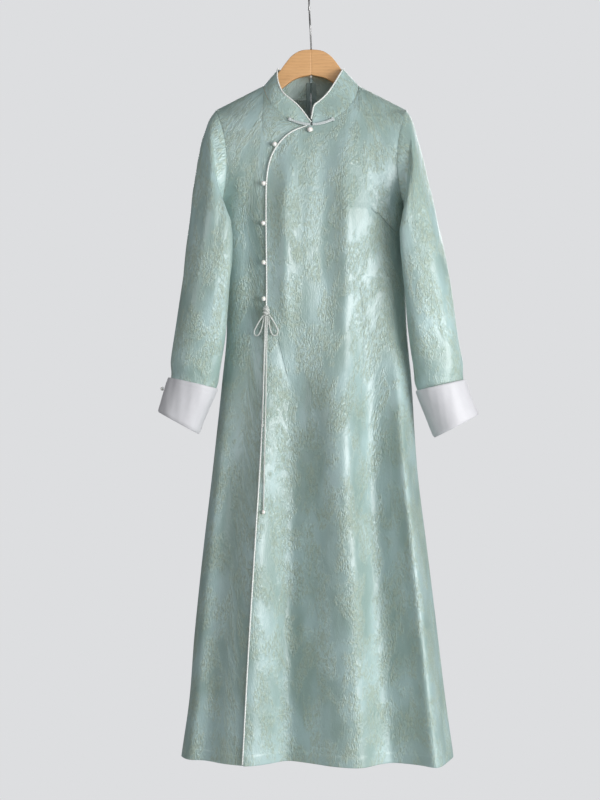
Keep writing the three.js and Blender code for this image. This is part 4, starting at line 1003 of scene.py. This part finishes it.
def sleeve(side, sign):
    table = SLEEVES[side]
    along = np.concatenate([[0, 0.05, 0.12, 0.2], np.linspace(0.3, 11, 130)])[:, None]
    angle = round_angles(SLEEVE_SIDES)[None, :]
    grow = 0 * (along + angle)
    for start_angle, start, end_angle, end, width, depth in SLEEVE_CREASES[side]:
        t = np.clip((along - start) / (end - start), 0, 1)
        off = turn_between(angle, lerp(start_angle, end_angle, t))
        grow = grow + depth * np.sin(t * math.pi) ** 0.7 * np.exp(-((off / width) ** 2))
    shift = 11 if side == "left" else 13
    for size, wide, tall, k in ((1.3, 1.7, 0.8, 0), (0.6, 4.5, 1.9, 1)):
        grow = grow + size * noise(np.cos(angle) * wide + 20, along * tall + np.sin(angle) * wide, shift + k)
    grow = grow * smooth(0, 1.2, along) * (1 - smooth(9.6, 10.4, along))
    grow = grow - 1.0 * np.exp(-((along / 0.12) ** 2)) * (np.abs(np.sin(angle)) ** 0.5)
    ring = {column: read(table, "index", column, along) for column in RING_COLUMNS.split()}
    dip = ARM_INDENT * np.maximum(0, 1 - along) * np.sin(angle) ** 2
    grid = ring_point(ring, sign, angle, grow, dip)
    grid[0, :, 0] += sign * SEAM_GAP
    run = run_along(grid.mean(1))
    girth = np.linalg.norm(np.roll(grid, -1, 1) - grid, axis=2).sum(1).mean()
    # The seam lies along the inner side
    turned = np.roll(np.arange(SLEEVE_SIDES), SLEEVE_SIDES // 2)
    uvs = np.stack(np.broadcast_arrays(turned / SLEEVE_SIDES * girth, run[:, None]), -1) * MM
    uvs = uvs + np.array([3.0 if sign > 0 else 5.0, 0])

    def steer(out):
        out = out.copy()
        first = out[0, :, 0]
        out[0, :, 0] = np.minimum(0, first) if sign > 0 else np.maximum(0, first)
        return out

    return shell(f"sleeve_{side}_cloth", grid, uvs, sign > 0, closed=True, steer=steer)


def cuff_point(side, sign, along, angle, out):
    ring = {key: lerp(value[0], value[1], along) for key, value in CUFFS[side].items()}
    return ring_point(ring, sign, angle, out)


# The crease of each cuff: its angle, and how far round it spreads
CUFF_CREASE = {"right": (-1.2, 0.7), "left": (-1.9, 0.5)}
CREASE_HIGH = 2.2


def cuff(side, sign):
    along = np.concatenate([[0, 0.02, 0.05], np.linspace(0.09, 0.92, 20), [0.96, 0.985, 1.0]])[:, None]
    half = lerp(CUFF_SLIT["top"], CUFF_SLIT["bottom"], along) / 2 / lerp(*CUFFS[side]["depth"], along)
    share = np.concatenate([[0, 0.003, 0.008], np.linspace(0.016, 0.984, 96), [0.992, 0.997, 1.0]])[None, :]
    angle = CUFF_SLIT[side] + half + share * (2 * math.pi - 2 * half)
    shift = 21 if side == "left" else 24
    soft = 1.5 * noise(np.cos(angle) * 2.2 + along * 1.4, np.sin(angle) * 2.2 + along * 0.8, shift)
    soft = soft + 0.5 * noise(np.cos(angle) * 5 + along * 3, np.sin(angle) * 5, shift + 1)
    # A pressed crease, a rolled rim above and below, and the stitch line
    crease, spread = CUFF_CREASE[side]
    off = turn_between(angle, crease - 0.3 * along)
    soft = soft + CREASE_HIGH * np.maximum(0, 1 - np.abs(off) / spread)
    roll = -1.6 * smooth(0.93, 1.0, along) ** 2 - 1.0 * (1 - smooth(0, 0.06, along)) ** 2
    stitch = -0.5 * np.exp(-(((along - 0.09) / 0.02) ** 2))
    grid = cuff_point(side, sign, along, angle, soft + roll + stitch - 0.3)
    return shell(f"cuff_{side}_cloth", grid, flat_uvs(grid), sign > 0, CUFF_CLOTH)


def cuff_loop(side, sign, centre):
    """The little cord loop that holds the cuff's pearl."""
    t = np.linspace(0, 2 * math.pi, 40)
    line = np.asarray(centre) + np.stack([0.4 * np.sin(t), 4.4 * np.sin(t), 3.3 * np.cos(t) + 0.4], -1)
    return tube(f"cuff_loop_{side}", line[:-1], 0.6, 8)


SIDES = (("right", 1), ("left", -1))
for side, sign in SIDES:
    arm = dress(sleeve(side, sign), painted_lighter_jacquard, "jacquard", f"sleeve_{side}")
    wrist = dress(cuff(side, sign), CUFF_SATIN, "cuff_satin", f"cuff_{side}")
    seat = cuff_point(side, sign, CUFF_SLIT["pearl"], CUFF_SLIT[side], CUFF_PEARL_R + SEAM_GAP)
    dress(ball(f"cuff_pearl_{side}_fine", seat, CUFF_PEARL_R), PEARL, "pearl", f"cuff_pearl_{side}")
    dress(cuff_loop(side, sign, seat - np.array([sign * 1.6, 0, 0])), CORD, "cord")


# Collar
def collar_point(sign, angle, height):
    """A point of the collar: angle 0 is the centre front and 180 the centre back, height 0 the neck seam."""
    angle, height = np.broadcast_arrays(np.asarray(angle, float), np.asarray(height, float))
    turn = np.radians(angle)
    front_part = angle <= 90
    cos = np.abs(np.cos(turn))
    s = sign * NECK_SHARE * np.where(front_part, angle, 180 - angle) / 90
    front_across, front_drop = top_edge("front", s)
    back_across, back_drop = top_edge("back", s)
    foot = np.where(front_part[..., None], front_at(CENTRE_X + front_across, front_drop),
                    back_at(CENTRE_X + back_across, back_drop))
    lean = np.where((sign < 0) & front_part, COLLAR_LEAN_LEFT * np.sin(2 * turn), 0)
    x = CENTRE_X + sign * (COLLAR_TOP["x"] * np.sin(turn) + lean * 0.6)
    y = np.where(front_part, COLLAR_TOP["frontY"], COLLAR_TOP["backY"]) * cos**0.8 - lean
    low = np.where(front_part, COLLAR_TOP["front"], COLLAR_TOP["back"])
    z = -lerp(COLLAR_TOP["side"], low, np.where(front_part, cos**2.3, cos**2))
    rise = np.stack([x, y, z], -1) - foot
    share = SEAM_GAP / np.linalg.norm(rise, axis=-1)
    return foot + rise * (share + height * (1 - share))[..., None]


def collar_cut(sign, angle):
    return read(COLLAR_CUT, "angle", "left" if sign < 0 else "right", angle)


def collar(side, sign):
    angles = np.concatenate([np.linspace(1, 12, 14), np.linspace(14, 179.35, 96)])[None, :]
    heights = np.concatenate([[1, 0.98], np.linspace(0.94, 0.08, 15), [0.04, 0.0]])[:, None]
    grid = collar_point(sign, angles, heights * collar_cut(sign, angles))
    out = unit(np.cross(unit(np.gradient(grid, axis=1)), np.gradient(grid, axis=0))) * -sign
    soft = 0.7 * noise(angles / 16, heights * 1.6, 31 + sign) * np.sin(heights * math.pi)
    grid = grid + out * (soft - 0.5 * np.exp(-((heights / 0.06) ** 2)))[..., None]
    return shell(f"collar_{side}_cloth", grid, flat_uvs(grid) + np.array([7.0, 0]), sign > 0)


def collar_piping(side, sign):
    angles = np.concatenate([[1, 2.5, 4, 6, 8, 10.5], np.linspace(13, 178.7, 60)])
    cut = collar_cut(sign, angles)
    edge = collar_point(sign, angles, cut)
    up = edge - collar_point(sign, angles, cut - 0.1)
    before = collar_point(sign, angles - 1, collar_cut(sign, np.maximum(0, angles - 1)))
    after = collar_point(sign, np.minimum(180, angles + 1), collar_cut(sign, angles + 1))
    along = unit(after - before)
    up = unit(up - along * np.sum(up * along, -1, keepdims=True))
    line = smooth_line(edge + up * PIPING_OFF, 170)
    return tube(f"collar_piping_{side}_cord", line, PIPING_R, 10)


for side, sign in SIDES:
    band = dress(collar(side, sign), painted_lighter_jacquard, "jacquard", f"collar_{side}")
    dress(collar_piping(side, sign), PIPING, "piping", f"collar_piping_{side}")

# The lapping edge's piping
lap_rows = ROWS[ROWS > 0.02]
_, lap_drops = place_of("front", placket_s(lap_rows), lap_rows)
lap_line = smooth_line(beside_placket(lap_drops, PIPING_OFF)[::2], 420)
dress(tube("placket_piping_cord", lap_line, PIPING_R, 10), PIPING, "piping", "placket_piping")


# Pearls with their loops, each loop coming out from under the piping
LOOP_HALF = 1.6
LOOP_R = PEARL_R * 0.98


def pearl_loop(name, centre, drop):
    roots = [beside_placket(drop + half, 1.0, 0.8) for half in (-LOOP_HALF, LOOP_HALF)]
    bend = [centre + np.array([LOOP_R * math.cos(a), LOOP_HALF, LOOP_R * math.sin(a)])
            for a in np.radians([62, 100, 140, 180, 220, 260, 298])]
    return tube(name, smooth_line([roots[0]] + bend + [roots[1]], 60), 0.65, 8)


for number, drop in enumerate(PEARL_DROPS, 1):
    seat = beside_placket(drop, PEARL_ASIDE, PEARL_OUT)
    dress(ball(f"pearl_{number}_fine", seat, PEARL_R), PEARL, "pearl", f"pearl_{number}")
    dress(pearl_loop(f"pearl_{number}_loop", seat, drop), CORD, "cord")

NECK_PEARL_R = 4.7
neck_seat = front_at(CENTRE_X - 2.5, NECK_FRONT + 9.5, NECK_PEARL_R + SEAM_GAP)
dress(ball("neck_pearl_fine", neck_seat, NECK_PEARL_R), PEARL, "pearl", "neck_pearl")


# The frog: a folded strip lying along the neck seam on each side, two cords wide with a rolled end
FROG_OUT = 2.6
FROG_HALF = 1.15
FROG_R, FROG_END_R = 1.25, 1.35


def frog(side, sign):
    angles = np.array([1.5, 3, 8, 13, 18, 22, 25, 26.2])
    foot = collar_point(sign, angles, 0)
    along = unit(collar_point(sign, angles + 1, 0) - foot)
    out = unit(np.stack([foot[:, 0] * 0.002, -np.ones(len(angles)), np.full(len(angles), 0.08)], -1))
    wide = unit(np.cross(out, along))
    centre = foot + out * FROG_OUT
    parts = [tube(f"frog_{side}_{offset}", smooth_line(centre + wide * offset, 60), FROG_R, 10)
             for offset in (-FROG_HALF, FROG_HALF)]
    roll = [centre[-1] + wide[-1] * 2.7 * math.cos(a) + along[-1] * (1.1 * math.sin(a) + 0.4) + out[-1] * 0.3
            for a in np.linspace(0, 2 * math.pi, 15)[:-1]]
    parts.append(tube(f"frog_{side}_end", smooth_line(roll, 40), FROG_END_R, 10))
    return join(f"frog_{side}_strip", parts)


for side, sign in SIDES:
    dress(frog(side, sign), FROG, "jacquard", f"frog_{side}")
t = np.linspace(0.15, 2 * math.pi - 0.15, 40) + math.pi / 2
neck_loop = neck_seat + np.stack([4.6 * np.cos(t), 2.4 + 0 * t, 4.3 * np.sin(t) + 0.6], -1)
dress(tube("neck_pearl_loop", neck_loop, 0.85, 8), CORD, "cord")

# The bow's knot: a core, with cord wound round it and one turn over it
KNOT_TURNS = 5.5
OVER = [(-4.6, -1.6, 5.2), (-2.0, -4.9, 2.6), (1.6, -5.6, -0.6), (4.4, -3.6, -3.8), (5.0, -1.0, -6)]
knot_centre = front_at(KNOT_X, KNOT_DROP, KNOT_OUT)
turns = np.linspace(0, 1, 260)
wind = turns * 2 * math.pi * KNOT_TURNS
height = lerp(8.2, -7.4, turns)
girth = np.interp(height, [-8, -5, 0, 4, 6.3, 8.4], [4.2, 5.2, 5.5, 4.6, 2.6, 2.9])
tilt = 0.9 * np.sin(wind * 0.5)
wound = knot_centre + np.stack([girth * np.cos(wind), 0.72 * girth * np.sin(wind), height + tilt], -1)
core_line = smooth_line([knot_centre + np.array([0, 0, z]) for z in (8.0, 4, 0, -4, -7.0)], 24)
core_r = np.interp(core_line[:, 2] - knot_centre[2], [-7, -3, 2, 6, 8], [3.2, 4.6, 4.4, 1.9, 1.6])
core = tube("bow_core", core_line, core_r, 16)
strand = tube("bow_strand", wound, CORD_R * 0.98, 10, twist=TWIST)
over = tube("bow_over", smooth_line([knot_centre + np.array(point) for point in OVER], 40), CORD_R, 10)
dress(join("bow_knot_wound", [core, strand, over]), CORD, "cord", "bow_knot")

for side, offsets in LOOPS.items():
    path = []
    for k, (dx, dz) in enumerate(offsets):
        lift = 4.6 if k < len(offsets) / 2 else 2.6
        path.append(front_at(KNOT_X + dx, KNOT_DROP - dz, CORD_R + lift))
    loop = tube(f"bow_loop_{side}_cord", smooth_line(path, 90), CORD_R, twist=TWIST)
    dress(loop, CORD, "cord", f"bow_loop_{side}")

# The zip: two tapes and the coil's teeth, up the centre back
ZIP_END = 652
TAPE_DEPTH, TAPE_CLOTH = 2.4, 0.7
TOOTH_PITCH = 1.3
_, back_drops = place_of("back", 0.0, ROWS[ROWS < 1.4])
on_collar = [collar_point(1, 180, height) for height in (0.75, 0.5, 0.25)]
on_back = [point for point in back_at(CENTRE_X, back_drops) if point[2] > -ZIP_END]
zip_route = np.array(on_collar + on_back)
zip_route[:, 0] = CENTRE_X
zip_path = smooth_line(zip_route, 360)
zip_along = unit(np.gradient(zip_path, axis=0))
zip_in = unit(np.cross(np.array([1.0, 0, 0]), zip_along))
zip_in = np.where(zip_in[:, 1:2] > 0, -zip_in, zip_in)
tape_across = np.array([-8.8, -7, -5, -3, -1.2])[None, :, None]
parts = []
for sign in (-1, 1):
    grid = zip_path[:, None, :] + zip_in[:, None, :] * TAPE_DEPTH + np.array([sign, 0, 0]) * tape_across
    parts.append(shell(f"zip_tape_{sign}", grid, flat_uvs(grid), sign < 0, TAPE_CLOTH))
dress(join("zip_tapes", parts), TAPE, "zip_tape", "zip")


def teeth():
    """Small interlocking coil turns, alternately from the left and the right."""
    run = run_along(zip_path)
    points = []
    faces = []
    for k, place in enumerate(np.arange(1, run[-1] - 1, TOOTH_PITCH)):
        centre, inward, up = (at_run(values, run, place) for values in (zip_path, zip_in, zip_along))
        side = np.array([1.0 if k % 2 else -1.0, 0, 0])
        start = len(points)
        for reach_out, rise in ((2.1, 0.35), (0.6, 0.5), (-0.9, 0.35)):
            for a in range(6):
                t = a * math.pi / 3
                points.append(centre + side * reach_out + inward * (3.3 + 0.75 * math.cos(t) * (0.6 + rise))
                              + up * 0.48 * math.sin(t))
        faces += [tuple(start + corner for corner in face) for face in ring_faces(3, 6, False)]
        faces.append(tuple(range(start + 5, start - 1, -1)))
        faces.append(tuple(range(start + 12, start + 18)))
    return solid("zip_teeth", points, faces, np.zeros((len(points), 2)), 40)


dress(teeth(), TEETH, "zip_tape")

# Hardware that keeps its solid
for node in ("zip_slider", "zip_pull_tab"):
    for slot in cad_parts[node].material_slots:
        slot.material = ENAMEL


# The hanger's board: rounded edges along its outline, and a fine joint at its middle
def board():
    right = np.concatenate([[0.45, 1.2], np.linspace(3, HANGER_TIP - 9, 74),
                            np.linspace(HANGER_TIP - 6, HANGER_TIP, 8)])
    xs = np.concatenate([-right[::-1], [0], right])
    aside = np.abs(xs)
    slack = 1.6 + lerp(1.8, 4.4, (aside - NECK_X) / (HANGER_TIP - NECK_X))
    top = np.where(aside <= NECK_X, read(HANGER_TOP, "x", "drop", aside), shoulder_drop(aside) + slack)
    top = top + 4.5 * smooth(HANGER_TIP - 7, HANGER_TIP, aside) ** 2
    low = read(HANGER_BOTTOM, "x", "drop", aside) - 9 * smooth(HANGER_TIP - 9, HANGER_TIP, aside) ** 2
    middle, half = (top + low) / 2, (low - top) / 2
    thick = HANGER_THICK / 2 * (1 - 0.35 * smooth(HANGER_TIP - 6, HANGER_TIP, aside) ** 2)
    notch = 0.35 * np.exp(-((aside / 0.5) ** 2))
    sides = 48
    turn = round_angles(sides)
    ring_y = np.sign(np.cos(turn)) * np.abs(np.cos(turn)) ** 0.35
    ring_z = np.sign(np.sin(turn)) * np.abs(np.sin(turn)) ** 0.35
    edge = np.minimum(1, 3.2 / half)[:, None]
    soft_z = np.sign(ring_z) * (1 - (1 - np.abs(np.sin(turn)) ** 0.3) * edge * 2)
    z = np.where(np.abs(ring_z) > 0.5, soft_z, ring_z)
    points = np.stack(np.broadcast_arrays(CENTRE_X + xs[:, None], ring_y * (thick - notch)[:, None],
                                          z * (half - notch)[:, None] - middle[:, None]), -1)
    tips = [(CENTRE_X + sign * (HANGER_TIP + 0.8), 0, -middle[0]) for sign in (-1, 1)]
    faces = ring_faces(len(xs), sides)
    return solid("hanger_board_fine", np.vstack([points.reshape(-1, 3), *tips]), faces, None, 45)


dress(board(), WOOD, "wood", "hanger_board")

# Its hook, from a foot in the board up to the crown over the rail, and the ferrule at its foot
HOOK_FOOT = 101
turn_radius = HOOK_INNER + HOOK_WIRE
hook_route = [(CENTRE_X, 0, -HOOK_FOOT - HOOK_SEAT + 1), (CENTRE_X, 0, -HOOK_FOOT), (3, 0, -74),
              (2.2, -3, -58), (1.2, -12, -43), (0.5, -18.2, -31)]
for degrees in (180, 150, 120, 90, 60, 30, 0, -18):
    t = math.radians(degrees)
    hook_route.append((0, turn_radius * math.cos(t), -HOOK_INNER + turn_radius * math.sin(t)))
ferrule_line = np.array([(CENTRE_X, 0, -HOOK_FOOT + z) for z in np.linspace(-3, 1.2, 6)])
ferrule = tube("hook_ferrule", ferrule_line, np.array([2.9, 3.1, 3.1, 3.0, 2.6, 2.0]), 20)
wire = tube("hook_wire", smooth_line(hook_route, 150), HOOK_WIRE, 16)
dress(join("hanger_hook_wire", [wire, ferrule]), STEEL, "steel", "hanger_hook")

# A pale floor under the hanging garment, and a pale room round it
FLOOR_R, FLOOR_Z, FLOOR_SIDES = 1.05, -1.75, 96
floor_mesh = bpy.data.meshes.new("floor")
floor_ring = [(FLOOR_R * math.cos(turn), FLOOR_R * math.sin(turn), FLOOR_Z)
              for turn in round_angles(FLOOR_SIDES)]
floor_mesh.from_pydata(floor_ring, [], [tuple(range(FLOOR_SIDES))])
floor = bpy.data.objects.new("floor", floor_mesh)
scene.collection.objects.link(floor)
n = Finish("floor", {"Roughness": 0.8})
pale = n.blend(n.clouds(n.place(), 6, 2), srgb(222, 222, 222), srgb(228, 228, 228))
floor_mesh.materials.append(n.wear(pale))

world = bpy.data.worlds.new("room")
scene.world = world
world.use_nodes = True
nodes = world.node_tree.nodes
links = world.node_tree.links
seen = nodes["Background"]
seen.inputs["Color"].default_value = srgb(221, 222, 224)
seen.inputs["Strength"].default_value = 1.0
ambient = nodes.new("ShaderNodeBackground")
ambient.inputs["Color"].default_value = srgb(232, 236, 240)
ambient.inputs["Strength"].default_value = 0.12
choose = nodes.new("ShaderNodeMixShader")
path = nodes.new("ShaderNodeLightPath")
links.new(path.outputs["Is Camera Ray"], choose.inputs[0])
links.new(ambient.outputs[0], choose.inputs[1])
links.new(seen.outputs[0], choose.inputs[2])
links.new(choose.outputs[0], nodes["World Output"].inputs["Surface"])

# Soft round lights: place, target, size and power
LIGHTS = {
    "right": ((2.5, -2.1, -0.75), (0, 0, -0.95), 2.3, 126),
    "right_front": ((0.9, -3.2, -0.2), (0, 0, -0.8), 2.0, 18),
    "left": ((-2.8, -1.7, 0.0), (0, 0, -0.75), 1.9, 27),
    "front": ((-0.3, -2.4, 1.5), (0, 0, -0.5), 1.6, 8),
    "rear": ((0.4, 2.6, 0.4), (0, 0, -0.7), 2.6, 60),
}
for name, (place, target, size, power) in LIGHTS.items():
    data = bpy.data.lights.new(name, "AREA")
    data.shape = "DISK"
    data.size = size
    data.energy = power
    lamp = bpy.data.objects.new(name, data)
    lamp.location = place
    lamp.rotation_euler = (Vector(target) - Vector(place)).to_track_quat("-Z", "Y").to_euler()
    scene.collection.objects.link(lamp)

scene.view_settings.view_transform = "Standard"
scene.view_settings.look = "None"
